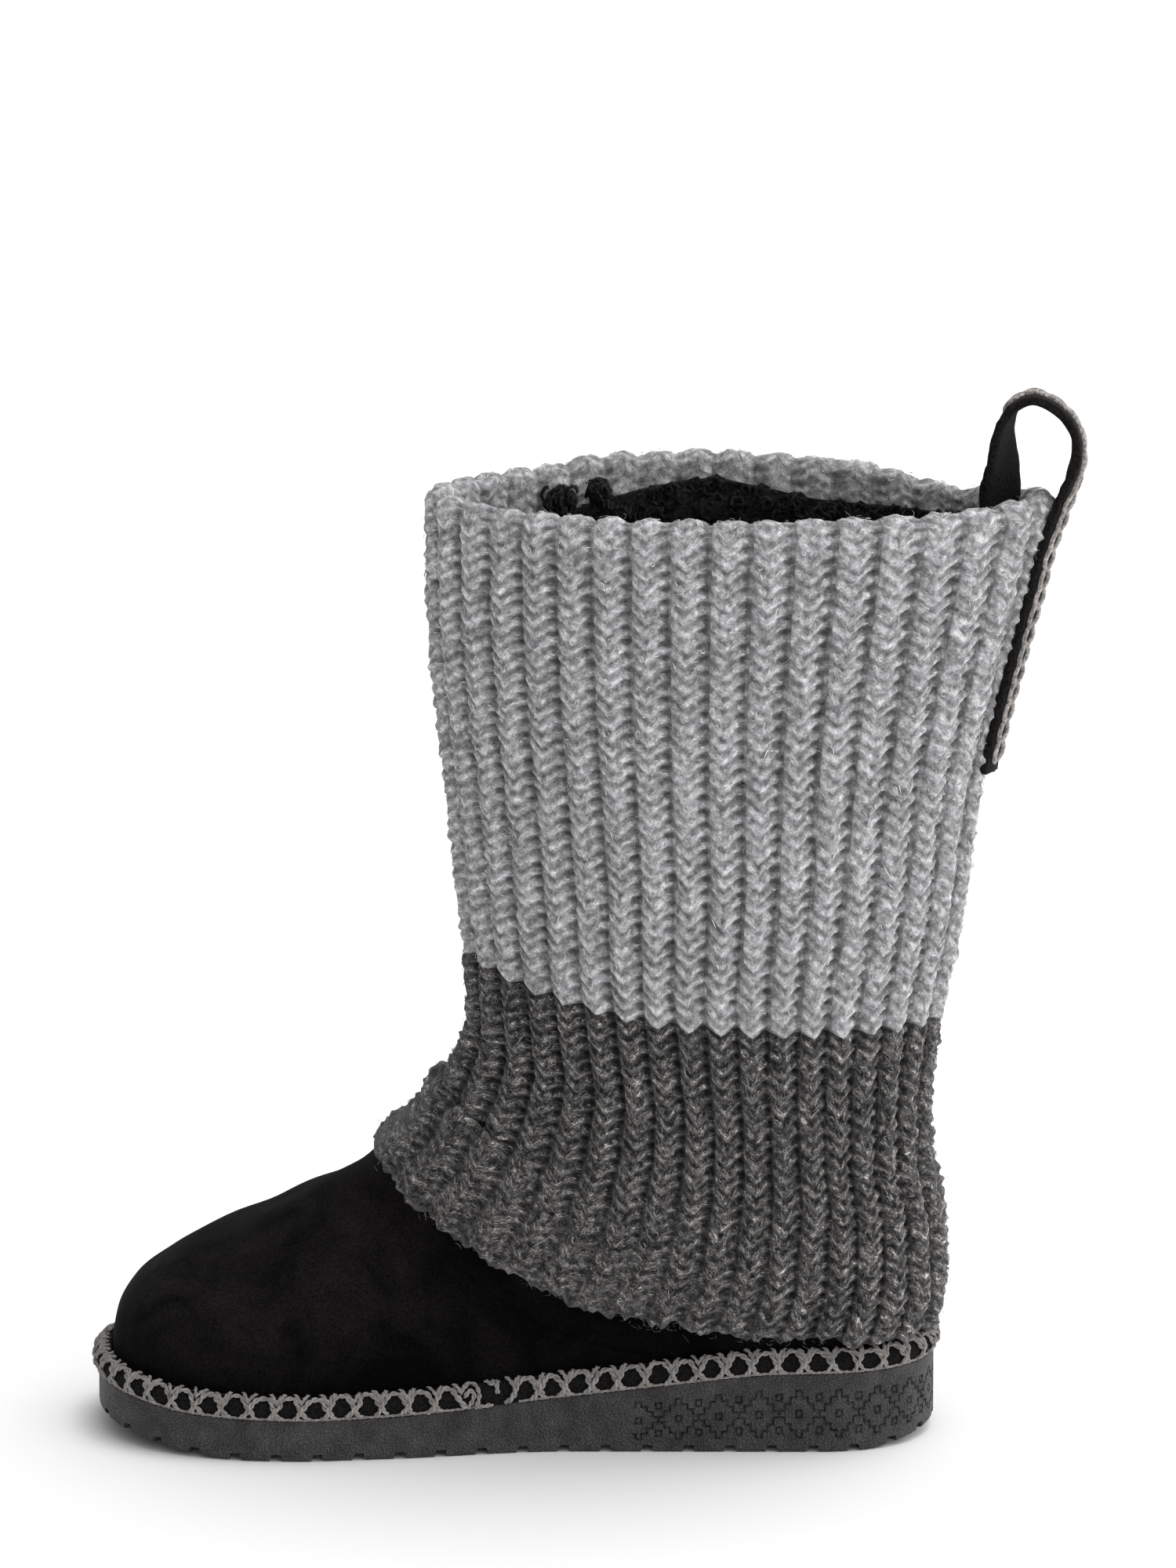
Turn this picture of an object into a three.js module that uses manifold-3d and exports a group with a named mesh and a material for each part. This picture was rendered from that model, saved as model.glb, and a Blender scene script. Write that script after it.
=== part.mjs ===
// A left ankle-high suede boot with a ribbed knit shaft, in millimetres, +Z up.
// +X points to the toe and +Y to the outer (lateral) side.
// The origin lies on the floor under the heel's centre.
// Pieces: rubber outsole, insole, suede upper, stitched welt trim, knit shaft and pull loop.
import * as THREE from "three";
import { mergeVertices } from "three/addons/utils/BufferGeometryUtils.js";
import Module from "manifold-3d";

// Driving dimensions
const SOLE_LENGTH = 275;
const HEEL_BACK = -36;
const TOE_TIP = HEEL_BACK + SOLE_LENGTH;
const SEAT_GAP = 0.3;
const SUEDE_WALL = 2;
const INSOLE_THICKNESS = 5;
const INSOLE_CLEARANCE = 1.8;
const TRIM_THICKNESS = 4;
const TRIM_HEIGHT = 6.5;
const TRIM_BULGE = 1;
const KNIT_WALL = 4.4;
const KNIT_SEAT = 0.6;
const RIB_COUNT = 36;
const RIB_DEPTH = 2.2;
const RIM_RADIUS = 4.5;
const TAPE_WIDTH = 20;
const TAPE_THICKNESS = 3;

// The suede stands inside the sole's edge by the trim and a seat gap on both of its sides.
const SUEDE_SETBACK = TRIM_THICKNESS + 2 * SEAT_GAP;

// Sole plan: distance of the edge from the heel's axis at stations between the round heel and the round toe
const SOLE_PLAN = [
  { x: 4, lateral: 36, medial: 35.5 },
  { x: 84, lateral: 35.6, medial: 31 },
  { x: 140, lateral: 43.5, medial: 48.5 },
  { x: 169, lateral: 46.8, medial: 52.5 },
];
const HEEL_ROUNDNESS = 2.3;
const TOE_ROUNDNESS = 2.4;
const TOE_AXIS_Y = -4;

// Sole side: height of its upper edge, a wedge that is highest under the heel
const SOLE_TOP = [
  { x: HEEL_BACK, z: 27.5 },
  { x: 14, z: 26.8 },
  { x: 52, z: 23 },
  { x: 90, z: 18.6 },
  { x: 124, z: 15.6 },
  { x: 169, z: 14.1 },
  { x: 204, z: 14.9 },
  { x: TOE_TIP, z: 19.2 },
];
const TOE_SPRING = { from: 189, lift: 7, power: 1.7 };
const HEEL_BEVEL = { from: -12, lift: 4, power: 1.3 };
const SOLE_EDGE = { bottom: 1.2, top: 0.6 };
const LUG_PITCH = 13.6;
const LUG_NOTCH = { mouth: 4.4, root: 3, height: 2.4, depth: 12, overshoot: 6 };

// Sections of the last. Each is a line in the side view, from its base (on the sole or at the back of the
// heel and leg) to its crown (on the top of the foot or the front of the leg), which sags below its chord.
// half is the largest half width (0 takes it from the sole's plan), widest the share of the line where it
// lies; basePower and power say how square the section is from there to the base and to the crown.
const ON_SOLE = null;
const LAST_COLUMNS =
  ["at", "baseX", "baseZ", "crownX", "crownZ", "crownY", "sag", "half", "widest", "basePower", "power"];
const LAST_SECTIONS = [
  ["toe tip", 234.4, ON_SOLE, 234.4, 29, -4, 0, 0, 0.25, 2, 2.3],
  ["toe front", 232, ON_SOLE, 232.3, 38.5, -4, 0, 0, 0.25, 2, 2.3],
  ["toe", 226, ON_SOLE, 226.5, 48, -4, 0, 0, 0.24, 2, 2.3],
  ["toe crown", 212, ON_SOLE, 213, 57.9, -5, 0, 0, 0.22, 2, 2.3],
  ["ball", 178, ON_SOLE, 180, 73.2, -5, 0, 0, 0.2, 2, 2.3],
  ["vamp", 132, ON_SOLE, 160, 83.4, -4, 1, 0, 0.2, 2, 2.5],
  ["throat", 70, ON_SOLE, 151, 88.9, -3, 10, 30.5, 0.3, 2, 3],
  ["heel seat", -10, ON_SOLE, 148.6, 90.5, -2, 26, 31.5, 0.24, 2.3, 4],
  ["feather", -31.4, ON_SOLE, 147.6, 91.1, -2, 25.7, 32, 0.2, 2.5, 4.5],
  ["skirt edge", -31.6, 35.2, 147, 91.6, -2, 24, 33, 0.2, 2.5, 4.5],
  ["heel", -35.9, 52, 129.3, 108, -1, 15, 35.5, 0.23, 2.4, 3.6],
  ["heel top", -35, 72, 121, 119, 0, 8, 37, 0.29, 2.3, 2.8],
  ["ankle", -31, 92, 116, 128.5, 0, 4, 38.5, 0.37, 2.2, 2.3],
  ["suede top", -30.2, 110, 112.8, 140, 0, 4, 39.5, 0.45, 2.1, 2.1],
  ["colour change", -33.8, 141.6, 113.5, 163, 0, 6, 41.5, 0.5, 2, 2],
  ["low leg", -39.5, 170, 116, 186, 0, 4, 43.5, 0.5, 2, 2],
  ["mid leg", -46, 217, 120.2, 227, 0, 2, 45, 0.5, 2, 2],
  ["high leg", -53.6, 251, 123.4, 256, 0, 1, 45, 0.5, 2, 2],
  ["below collar", -61.8, 283, 125.2, 285, 0, 0, 44.5, 0.5, 2, 2],
  ["collar", -69, 312, 125.5, 312, 0, 0, 44, 0.5, 2, 2],
].map((row) => Object.fromEntries(LAST_COLUMNS.map((name, i) => [name, row[i]])));
const SAG_SKEW = 1.56;
const SAG_PEAK = 0.4634;
const SUEDE_FULLNESS = 1.03;
const SUEDE_AROUND = 24;

// Free part of the pull loop: its middle line from the back of the collar, up, over and down inside
const LOOP_ROUTE = [
  { x: -79.5, z: 319, turn: 0 },
  { x: -81.4, z: 328, turn: 0 },
  { x: -79.8, z: 336.5, turn: 3 },
  { x: -74, z: 343.4, turn: 8 },
  { x: -66, z: 346.6, turn: 16 },
  { x: -59.8, z: 343, turn: 30 },
  { x: -57, z: 335.5, turn: 40 },
  { x: -56.6, z: 326, turn: 40 },
  { x: -56, z: 315, turn: 34 },
  { x: -55.6, z: 303, turn: 16 },
  { x: -56.8, z: 290, turn: 0 },
];
const LOOP_SEWN_FROM = 16.2;
const LOOP_SEWN_STEPS = 6;

// Colours and gloss of the materials
const FINISH = {
  rubber: { color: 0x3a393b, roughness: 0.7, metalness: 0 },
  suede: { color: 0x0d0c0c, roughness: 0.95, metalness: 0 },
  insole: { color: 0x161515, roughness: 0.95, metalness: 0 },
  trim: { color: 0x4a4644, roughness: 0.9, metalness: 0 },
  knit: { color: 0x8b8a8e, roughness: 0.95, metalness: 0 },
};

const wasm = await Module();
wasm.setup();

// Smooth curve through a column of a table that never overshoots its rows.
// at counts rows, and may lie between them, or is a place along the column called places.
function along(values, at, places = values.map((_, i) => i)) {
  const last = values.length - 1;
  const here = Math.min(Math.max(at, places[0]), places[last]);
  let i = 0;
  while (i < last - 1 && here > places[i + 1]) i++;
  const slope = (a) => (values[a + 1] - values[a]) / (places[a + 1] - places[a]);
  const tangent = (a) => {
    if (a === 0) return slope(0);
    if (a === last) return slope(last - 1);
    const before = slope(a - 1);
    const after = slope(a);
    return before * after <= 0 ? 0 : (2 * before * after) / (before + after);
  };
  const step = places[i + 1] - places[i];
  const u = (here - places[i]) / step;
  const rise = u * u * (3 - 2 * u);
  return (
    values[i] * (1 - rise) +
    values[i + 1] * rise +
    step * (tangent(i) * u * (1 - u) * (1 - u) - tangent(i + 1) * u * u * (1 - u))
  );
}

function column(rows, name, at, place) {
  return along(
    rows.map((row) => row[name]),
    at,
    place && rows.map((row) => row[place]),
  );
}

// Share of full width left at a share of the way from the middle to the end of a round form
function roundOff(share, power) {
  const s = Math.min(Math.max(share, 0), 1);
  return Math.pow(1 - Math.pow(s, power), 1 / power);
}

// Edge of the sole's plan at x, moved inwards by inset; side is 1 for lateral and -1 for medial
function planEdge(x, side, inset = 0) {
  const name = side > 0 ? "lateral" : "medial";
  const heel = SOLE_PLAN[0];
  const ball = SOLE_PLAN[SOLE_PLAN.length - 1];
  if (x < heel.x) {
    const share = (heel.x - x) / (heel.x - HEEL_BACK - inset);
    return side * (heel[name] - inset) * roundOff(share, HEEL_ROUNDNESS);
  }
  if (x > ball.x) {
    const share = (x - ball.x) / (TOE_TIP - ball.x - inset);
    return TOE_AXIS_Y + (side * (ball[name] - inset) - TOE_AXIS_Y) * roundOff(share, TOE_ROUNDNESS);
  }
  return side * (column(SOLE_PLAN, name, x, "x") - inset);
}

function soleTop(x) {
  return column(SOLE_TOP, "z", x, "x");
}

function soleBottom(x) {
  const toe = Math.max(0, (x - TOE_SPRING.from) / (TOE_TIP - TOE_SPRING.from));
  const heel = Math.max(0, (HEEL_BEVEL.from - x) / (HEEL_BEVEL.from - HEEL_BACK));
  const toeLift = TOE_SPRING.lift * Math.pow(toe, TOE_SPRING.power);
  return toeLift + HEEL_BEVEL.lift * Math.pow(heel, HEEL_BEVEL.power);
}

// Stations from heel to toe, close together where the plan turns round its ends
function plainStations(inset, ends, middle) {
  const heel = SOLE_PLAN[0].x;
  const ball = SOLE_PLAN[SOLE_PLAN.length - 1].x;
  const tightest = 0.05;
  const turn = (i) => tightest + (1 - tightest) * (i / ends);
  const stations = [];
  for (let i = 0; i < ends; i++) {
    stations.push(heel - (heel - HEEL_BACK - inset) * Math.cos((turn(i) * Math.PI) / 2));
  }
  for (let i = 0; i <= middle; i++) stations.push(heel + ((ball - heel) * i) / middle);
  for (let i = ends - 1; i >= 0; i--) {
    stations.push(ball + (TOE_TIP - ball - inset) * Math.cos((turn(i) * Math.PI) / 2));
  }
  return stations;
}

// Closed mesh of four-sided faces given by their corners, with collapsed faces left out
function closedMesh(faces) {
  const positions = [];
  for (const [a, b, c, d] of faces) positions.push(...a, ...b, ...c, ...a, ...c, ...d);
  const raw = new THREE.BufferGeometry();
  raw.setAttribute("position", new THREE.Float32BufferAttribute(positions, 3));
  const merged = mergeVertices(raw, 1e-3);
  const index = merged.index.array;
  const kept = [];
  for (let i = 0; i < index.length; i += 3) {
    const [a, b, c] = [index[i], index[i + 1], index[i + 2]];
    if (a !== b && b !== c && a !== c) kept.push(a, b, c);
  }
  merged.setIndex(kept);
  return facingOut(merged);
}

function facingOut(geometry) {
  const at = geometry.getAttribute("position");
  const index = Array.from(geometry.index.array);
  const corner = (i) => new THREE.Vector3().fromBufferAttribute(at, index[i]);
  let volume = 0;
  for (let i = 0; i < index.length; i += 3) {
    volume += corner(i).dot(corner(i + 1).cross(corner(i + 2)));
  }
  if (volume < 0) index.reverse();
  geometry.setIndex(index);
  return geometry;
}

// Faces between rings of as many points each; a closed run of rings is a tube bent into itself
function ringFaces(rings, closedRun) {
  const faces = [];
  const count = closedRun ? rings.length : rings.length - 1;
  for (let i = 0; i < count; i++) {
    const ring = rings[i];
    const next = rings[(i + 1) % rings.length];
    for (let j = 0; j < ring.length; j++) {
      const k = (j + 1) % ring.length;
      faces.push([ring[j], ring[k], next[k], next[j]]);
    }
  }
  return faces;
}

// Solid through rings of points, closed at both ends by flat fans
function loft(rings) {
  const faces = ringFaces(rings, false);
  const first = rings[0];
  const last = rings[rings.length - 1];
  for (let j = 1; j < first.length - 1; j++) {
    faces.push([first[0], first[j + 1], first[j], first[0]]);
    faces.push([last[0], last[j], last[j + 1], last[0]]);
  }
  return closedMesh(faces);
}

function tubeRing(rings) {
  return closedMesh(ringFaces(rings, true));
}

// Manifold solids, for cutting
function toManifold(geometry) {
  const plain = geometry.clone();
  plain.deleteAttribute("normal");
  plain.deleteAttribute("uv");
  const merged = mergeVertices(plain, 1e-4);
  return new wasm.Manifold(
    new wasm.Mesh({
      numProp: 3,
      vertProperties: new Float32Array(merged.getAttribute("position").array),
      triVerts: new Uint32Array(merged.index.array),
    }),
  );
}

function toGeometry(solid) {
  const mesh = solid.getMesh();
  const geometry = new THREE.BufferGeometry();
  geometry.setAttribute("position", new THREE.BufferAttribute(mesh.vertProperties, 3));
  geometry.setIndex(new THREE.BufferAttribute(mesh.triVerts, 1));
  return geometry;
}

// Outline of the sole's plan, anticlockwise from the heel's back along the medial side to the toe and back
function planOutline(inset, ends, middle) {
  const stations = plainStations(inset, ends, middle);
  const medial = stations.map((x) => [x, planEdge(x, -1, inset)]);
  const lateral = stations.map((x) => [x, planEdge(x, 1, inset)]).reverse();
  return [...medial, ...lateral];
}

// Points at equal lengths round a closed line of 2D or 3D points
function evenlyRound(points, count, start = 0) {
  const closed = [...points, points[0]];
  const length = [0];
  for (let i = 1; i < closed.length; i++) {
    length.push(length[i - 1] + Math.hypot(...closed[i].map((v, a) => v - closed[i - 1][a])));
  }
  const whole = length[length.length - 1];
  const even = [];
  let i = 0;
  for (let n = 0; n < count; n++) {
    const goal = (whole * (n + start)) / count;
    while (length[i + 1] < goal) i++;
    const share = (goal - length[i]) / (length[i + 1] - length[i] || 1);
    even.push(closed[i].map((v, a) => v + (closed[i + 1][a] - v) * share));
  }
  return { points: even, whole };
}

// Section of the last at row number at, grown by out all round
const STANDING_UNTIL = LAST_SECTIONS.findIndex((row) => row.baseZ !== ON_SOLE) - 1;
const LAST_ROWS = LAST_SECTIONS.map((row) => ({ ...row, baseZ: row.baseZ ?? soleTop(row.baseX) + SEAT_GAP }));

function rowOf(name) {
  return LAST_SECTIONS.findIndex((row) => row.at === name);
}

function lastSection(at, out) {
  const value = (name) => column(LAST_ROWS, name, at);
  const nudge = 0.05;
  const heading = (x, z) => {
    const before = Math.max(at - nudge, 0);
    const after = Math.min(at + nudge, LAST_ROWS.length - 1);
    const dx = column(LAST_ROWS, x, after) - column(LAST_ROWS, x, before);
    const dz = column(LAST_ROWS, z, after) - column(LAST_ROWS, z, before);
    const size = Math.hypot(dx, dz);
    return [dx / size, dz / size];
  };
  const [crownRun, crownRise] = heading("crownX", "crownZ");
  const crown = [value("crownX") + out * crownRise, value("crownZ") - out * crownRun];
  const shape = { crown };
  for (const name of ["crownY", "sag", "widest", "basePower", "power"]) shape[name] = value(name);
  if (at > STANDING_UNTIL) {
    const [baseRun, baseRise] = heading("baseX", "baseZ");
    shape.base = [value("baseX") - out * baseRise, value("baseZ") + out * baseRun];
    shape.baseY = 0;
    shape.baseHalf = 0;
    shape.half = value("half") + out;
    return shape;
  }
  const inset = SUEDE_SETBACK - out;
  const baseX = Math.min(Math.max(value("baseX"), HEEL_BACK + inset), TOE_TIP - inset);
  const edges = [planEdge(baseX, 1, inset), planEdge(baseX, -1, inset)];
  shape.base = [baseX, soleTop(baseX) + SEAT_GAP];
  shape.baseY = (edges[0] + edges[1]) / 2;
  shape.baseHalf = (edges[0] - edges[1]) / 2;
  shape.half = Math.max(shape.baseHalf * SUEDE_FULLNESS, value("half") > 0 ? value("half") + out : 0);
  return shape;
}

// Point of a section: share runs from its base (0) to its crown (1), side is 1 or -1
function sectionPoint(section, share, side) {
  const { base, crown, widest, half, baseHalf } = section;
  const dip = (section.sag * share * (1 - share) * (1 + SAG_SKEW * share)) / SAG_PEAK;
  const tuck = half > 0 ? roundOff(baseHalf / half, section.basePower) : 0;
  const width =
    share < widest
      ? half * roundOff((tuck * (widest - share)) / widest, section.basePower)
      : half * roundOff((share - widest) / (1 - widest), section.power);
  return [
    base[0] + (crown[0] - base[0]) * share,
    section.baseY + (section.crownY - section.baseY) * share + side * width,
    base[1] + (crown[1] - base[1]) * share - dip,
  ];
}

// Points of a section from its base up one side to the crown and down the other
function sectionArch(section, steps) {
  const points = [];
  for (let j = 0; j <= steps; j++) {
    const angle = (2 * Math.PI * j) / steps;
    points.push(sectionPoint(section, (1 - Math.cos(angle)) / 2, j <= steps / 2 ? 1 : -1));
  }
  return points;
}

// Row numbers of the suede's sections: close where it is seen along the sole, wide apart under the knit
function suedePlaces() {
  const topRow = rowOf("suede top");
  const places = [];
  for (let row = 0; row < topRow; row++) {
    const alongSole = row >= rowOf("vamp") && row < rowOf("feather");
    const steps = alongSole ? 5 : row < rowOf("skirt edge") ? 2 : 1;
    for (let n = 0; n < steps; n++) places.push(row + n / steps);
  }
  places.push(topRow);
  return places;
}

// Solid last of the suede, grown by out, for cutting what is laid against it
function suedeSolid(out) {
  const rings = suedePlaces().map((at) => sectionArch(lastSection(at, out), SUEDE_AROUND));
  return toManifold(loft(rings));
}

// Rubber outsole: a wedge with toe spring, heel bevel and lugs parted by notches round its edge
function outsole() {
  const rings = plainStations(0, 9, 16).map((x) => {
    const [lateral, medial] = [planEdge(x, 1), planEdge(x, -1)];
    const [top, bottom] = [soleTop(x), soleBottom(x)];
    const most = (lateral - medial) / 4;
    const low = Math.min(SOLE_EDGE.bottom, most);
    const high = Math.min(SOLE_EDGE.top, most);
    return [
      [x, lateral - high, top],
      [x, lateral, top - high],
      [x, lateral, bottom + low],
      [x, lateral - low, bottom],
      [x, medial + low, bottom],
      [x, medial, bottom + low],
      [x, medial, top - high],
      [x, medial + high, top],
    ];
  });
  let body = toManifold(loft(rings));
  for (const notch of lugNotches()) body = body.subtract(notch);
  return toGeometry(body);
}

function lugNotches() {
  const outline = planOutline(0, 40, 80);
  const count = Math.round(evenlyRound(outline, 1).whole / LUG_PITCH);
  const middles = evenlyRound(outline, count, 0.5).points;
  const { mouth, root, height, depth, overshoot } = LUG_NOTCH;
  const profile = new THREE.Shape([
    new THREE.Vector2(-mouth / 2, -overshoot),
    new THREE.Vector2(mouth / 2, -overshoot),
    new THREE.Vector2(mouth / 2, 0),
    new THREE.Vector2(root / 2, height),
    new THREE.Vector2(-root / 2, height),
    new THREE.Vector2(-mouth / 2, 0),
  ]);
  const up = new THREE.Vector3(0, 0, 1);
  return middles.map(([x, y], i) => {
    const [ahead, behind] = [middles[(i + 1) % count], middles[(i + count - 1) % count]];
    const run = new THREE.Vector3(ahead[0] - behind[0], ahead[1] - behind[1], 0).normalize();
    const inwards = new THREE.Vector3().crossVectors(up, run);
    const cutter = new THREE.ExtrudeGeometry(profile, { depth: depth + overshoot, bevelEnabled: false });
    const place = new THREE.Matrix4().makeBasis(run.clone().negate(), up, inwards);
    place.setPosition(x - overshoot * inwards.x, y - overshoot * inwards.y, soleBottom(x));
    const closed = mergeVertices(plainPositions(cutter.applyMatrix4(place)), 1e-4);
    return toManifold(closed);
  });
}

function plainPositions(geometry) {
  const plain = new THREE.BufferGeometry();
  plain.setAttribute("position", geometry.getAttribute("position"));
  plain.setIndex(geometry.index);
  return plain;
}

// Insole: a flat pad that lies on the outsole inside the suede wall
function insole() {
  const inset = SUEDE_SETBACK + SUEDE_WALL + INSOLE_CLEARANCE;
  const rings = plainStations(inset, 6, 9).map((x) => {
    const [lateral, medial] = [planEdge(x, 1, inset), planEdge(x, -1, inset)];
    const low = soleTop(x) + SEAT_GAP;
    const high = low + INSOLE_THICKNESS;
    return [
      [x, lateral, high],
      [x, lateral, low],
      [x, medial, low],
      [x, medial, high],
    ];
  });
  return loft(rings);
}

// Suede upper: one wall from the toe to above the ankle, open at the top and underneath
function upper() {
  const places = suedePlaces();
  const outer = places.map((at) => sectionArch(lastSection(at, 0), SUEDE_AROUND));
  const inner = places.map((at) => sectionArch(lastSection(at, -SUEDE_WALL), SUEDE_AROUND));
  const faces = [];
  const end = SUEDE_AROUND;
  for (let i = 0; i < places.length - 1; i++) {
    for (let j = 0; j < end; j++) {
      faces.push([outer[i][j], outer[i][j + 1], outer[i + 1][j + 1], outer[i + 1][j]]);
      faces.push([inner[i][j], inner[i + 1][j], inner[i + 1][j + 1], inner[i][j + 1]]);
    }
    if (places[i] < STANDING_UNTIL) {
      faces.push([outer[i][0], outer[i + 1][0], inner[i + 1][0], inner[i][0]]);
      faces.push([outer[i + 1][end], outer[i][end], inner[i][end], inner[i + 1][end]]);
    }
  }
  const top = places.length - 1;
  for (let j = 0; j < end; j++) {
    faces.push([outer[top][j], outer[top][j + 1], inner[top][j + 1], inner[top][j]]);
  }
  return closedMesh(faces);
}

// Welt trim: a stitched tape laid round the foot of the suede, on the sole's edge, leaning inwards
function weltTrim() {
  const lean = [
    { inwards: 0.2, up: SEAT_GAP },
    { inwards: -TRIM_BULGE, up: TRIM_HEIGHT * 0.4 },
    { inwards: -TRIM_BULGE * 0.3, up: TRIM_HEIGHT * 0.75 },
    { inwards: TRIM_THICKNESS * 0.45, up: TRIM_HEIGHT },
    { inwards: TRIM_THICKNESS * 0.85, up: TRIM_HEIGHT },
    { inwards: TRIM_THICKNESS, up: SEAT_GAP },
  ];
  const stations = 56;
  const lines = lean.map((place) => evenlyRound(planOutline(place.inwards, 24, 40), stations).points);
  const rings = [];
  for (let n = 0; n < stations; n++) {
    rings.push(lean.map((place, i) => [...lines[i][n], soleTop(lines[i][n][0]) + place.up]));
  }
  const tape = toManifold(tubeRing(rings));
  return toGeometry(tape.subtract(suedeSolid(SEAT_GAP)));
}

// Knit shaft: a ribbed tube from its skirt over the foot to the rolled collar, where it is turned inside
function knitRing(at, out, lift, ribs) {
  const fineSteps = 120;
  const pointsPerRib = 2;
  const ring = (grown) => {
    const arch = sectionArch(lastSection(at, grown), fineSteps).slice(0, -1);
    return evenlyRound(arch, RIB_COUNT * pointsPerRib).points;
  };
  const crests = ring(out);
  const valleys = ring(out - ribs);
  return crests.map((crest, j) => {
    const [x, y, z] = j % pointsPerRib ? crest : valleys[j];
    return [x, y, z + lift];
  });
}

function shaft() {
  const skirt = rowOf("skirt edge");
  const collar = rowOf("collar");
  const outside = KNIT_SEAT + KNIT_WALL;
  const rimMiddle = outside - RIM_RADIUS;
  const rimSteps = 4;
  const rings = [];
  const straight = rowOf("low leg");
  for (let at = skirt; at < collar; at += at < straight ? 0.5 : 1) {
    rings.push(knitRing(at, outside, 0, RIB_DEPTH));
  }
  for (let n = 0; n <= rimSteps; n++) {
    const turn = (Math.PI * n) / rimSteps;
    const out = rimMiddle + RIM_RADIUS * Math.cos(turn);
    rings.push(knitRing(collar, out, RIM_RADIUS * Math.sin(turn), RIB_DEPTH * (1 - n / rimSteps)));
  }
  const foldEnd = collar - 0.35;
  rings.push(knitRing(foldEnd, rimMiddle - RIM_RADIUS, 0, 0));
  rings.push(knitRing(foldEnd - 0.1, KNIT_SEAT, 0, 0));
  for (let at = collar - 1; at >= skirt; at -= 1) rings.push(knitRing(at, KNIT_SEAT, 0, 0));
  return tubeRing(rings);
}

// Pull loop: a flat tape sewn up the back of the shaft, looped over the collar and sewn down inside
function pullLoop() {
  const outside = KNIT_SEAT + KNIT_WALL + SEAT_GAP + TAPE_THICKNESS / 2;
  const collar = rowOf("collar");
  const route = [];
  for (let n = 0; n < LOOP_SEWN_STEPS; n++) {
    const at = LOOP_SEWN_FROM + ((collar - LOOP_SEWN_FROM) * n) / LOOP_SEWN_STEPS;
    const [x, z] = lastSection(at, outside).base;
    route.push({ x, z, turn: 0 });
  }
  route.push(...LOOP_ROUTE);
  const up = new THREE.Vector3(0, 1, 0);
  const rings = route.map((place, i) => {
    const ahead = route[Math.min(i + 1, route.length - 1)];
    const behind = route[Math.max(i - 1, 0)];
    const run = new THREE.Vector3(ahead.x - behind.x, 0, ahead.z - behind.z).normalize();
    const twist = THREE.MathUtils.degToRad(place.turn);
    const wide = up.clone().applyAxisAngle(run, twist);
    const thick = new THREE.Vector3().crossVectors(run, wide);
    const corner = (w, t) =>
      new THREE.Vector3(place.x, 0, place.z)
        .addScaledVector(wide, (w * TAPE_WIDTH) / 2)
        .addScaledVector(thick, (t * TAPE_THICKNESS) / 2)
        .toArray();
    return [corner(1, 1), corner(-1, 1), corner(-1, -1), corner(1, -1)];
  });
  return loft(rings);
}

function piece(name, geometry, finish) {
  const mesh = new THREE.Mesh(geometry, new THREE.MeshStandardMaterial(finish));
  mesh.name = name;
  return mesh;
}

const boot = new THREE.Group();
boot.add(
  piece("outsole", outsole(), FINISH.rubber),
  piece("insole", insole(), FINISH.insole),
  piece("upper", upper(), FINISH.suede),
  piece("welt_trim", weltTrim(), FINISH.trim),
  piece("shaft", shaft(), FINISH.knit),
  piece("pull_loop", pullLoop(), FINISH.suede),
);

export default boot;
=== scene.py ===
import math

import bpy
import numpy as np
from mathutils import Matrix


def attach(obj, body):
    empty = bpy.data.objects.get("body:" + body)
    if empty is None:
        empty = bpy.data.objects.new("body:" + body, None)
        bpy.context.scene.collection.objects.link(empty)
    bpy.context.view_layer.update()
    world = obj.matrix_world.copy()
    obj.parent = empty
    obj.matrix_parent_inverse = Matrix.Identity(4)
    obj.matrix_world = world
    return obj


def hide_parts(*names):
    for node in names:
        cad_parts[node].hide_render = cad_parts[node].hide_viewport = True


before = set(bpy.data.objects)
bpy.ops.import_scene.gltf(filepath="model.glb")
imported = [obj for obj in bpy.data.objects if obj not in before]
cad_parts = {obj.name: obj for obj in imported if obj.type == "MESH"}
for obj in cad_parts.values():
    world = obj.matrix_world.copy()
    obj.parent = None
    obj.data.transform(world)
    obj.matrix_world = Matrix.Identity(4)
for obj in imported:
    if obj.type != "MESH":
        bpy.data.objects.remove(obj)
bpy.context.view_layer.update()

# Outsole
# A wedge of dark grey foamed rubber, moulded in one piece and glued under the suede. Its side is pebbled and
# carries a band of stepped diamonds round the heel; notches part its edge into lugs. Lengths are in millimetres.
MM = 0.001
HEEL_BACK = -36.0
TOE_TIP = HEEL_BACK + 275.0
PLAN_X = [4.0, 84.0, 140.0, 169.0]
PLAN_LATERAL = [36.0, 35.6, 43.5, 46.8]
PLAN_MEDIAL = [35.5, 31.0, 48.5, 52.5]
HEEL_ROUNDNESS = 2.3
TOE_ROUNDNESS = 2.4
TOE_AXIS_Y = -4.0
SOLE_TOP_X = [HEEL_BACK, 14.0, 52.0, 90.0, 124.0, 169.0, 204.0, TOE_TIP]
SOLE_TOP_Z = [27.5, 26.8, 23.0, 18.6, 15.6, 14.1, 14.9, 19.2]
TOE_SPRING_FROM = 189.0
TOE_SPRING = 7.0
HEEL_BEVEL_FROM = -12.0
HEEL_BEVEL = 4.0
TOP_EDGE = 0.8
BOTTOM_EDGE = 1.2


def curve_by(places, values, tangents, at):
    """Smooth curve through values at places, with the tangent that it has at each."""
    i = np.clip(np.searchsorted(places, at, side="right") - 1, 0, len(places) - 2)
    step = places[i + 1] - places[i]
    u = (at - places[i]) / step
    rise = u * u * (3 - 2 * u)
    lean = tangents[i] * u * (1 - u) ** 2 - tangents[i + 1] * u * u * (1 - u)
    return values[i] * (1 - rise) + values[i + 1] * rise + step * lean


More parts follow.
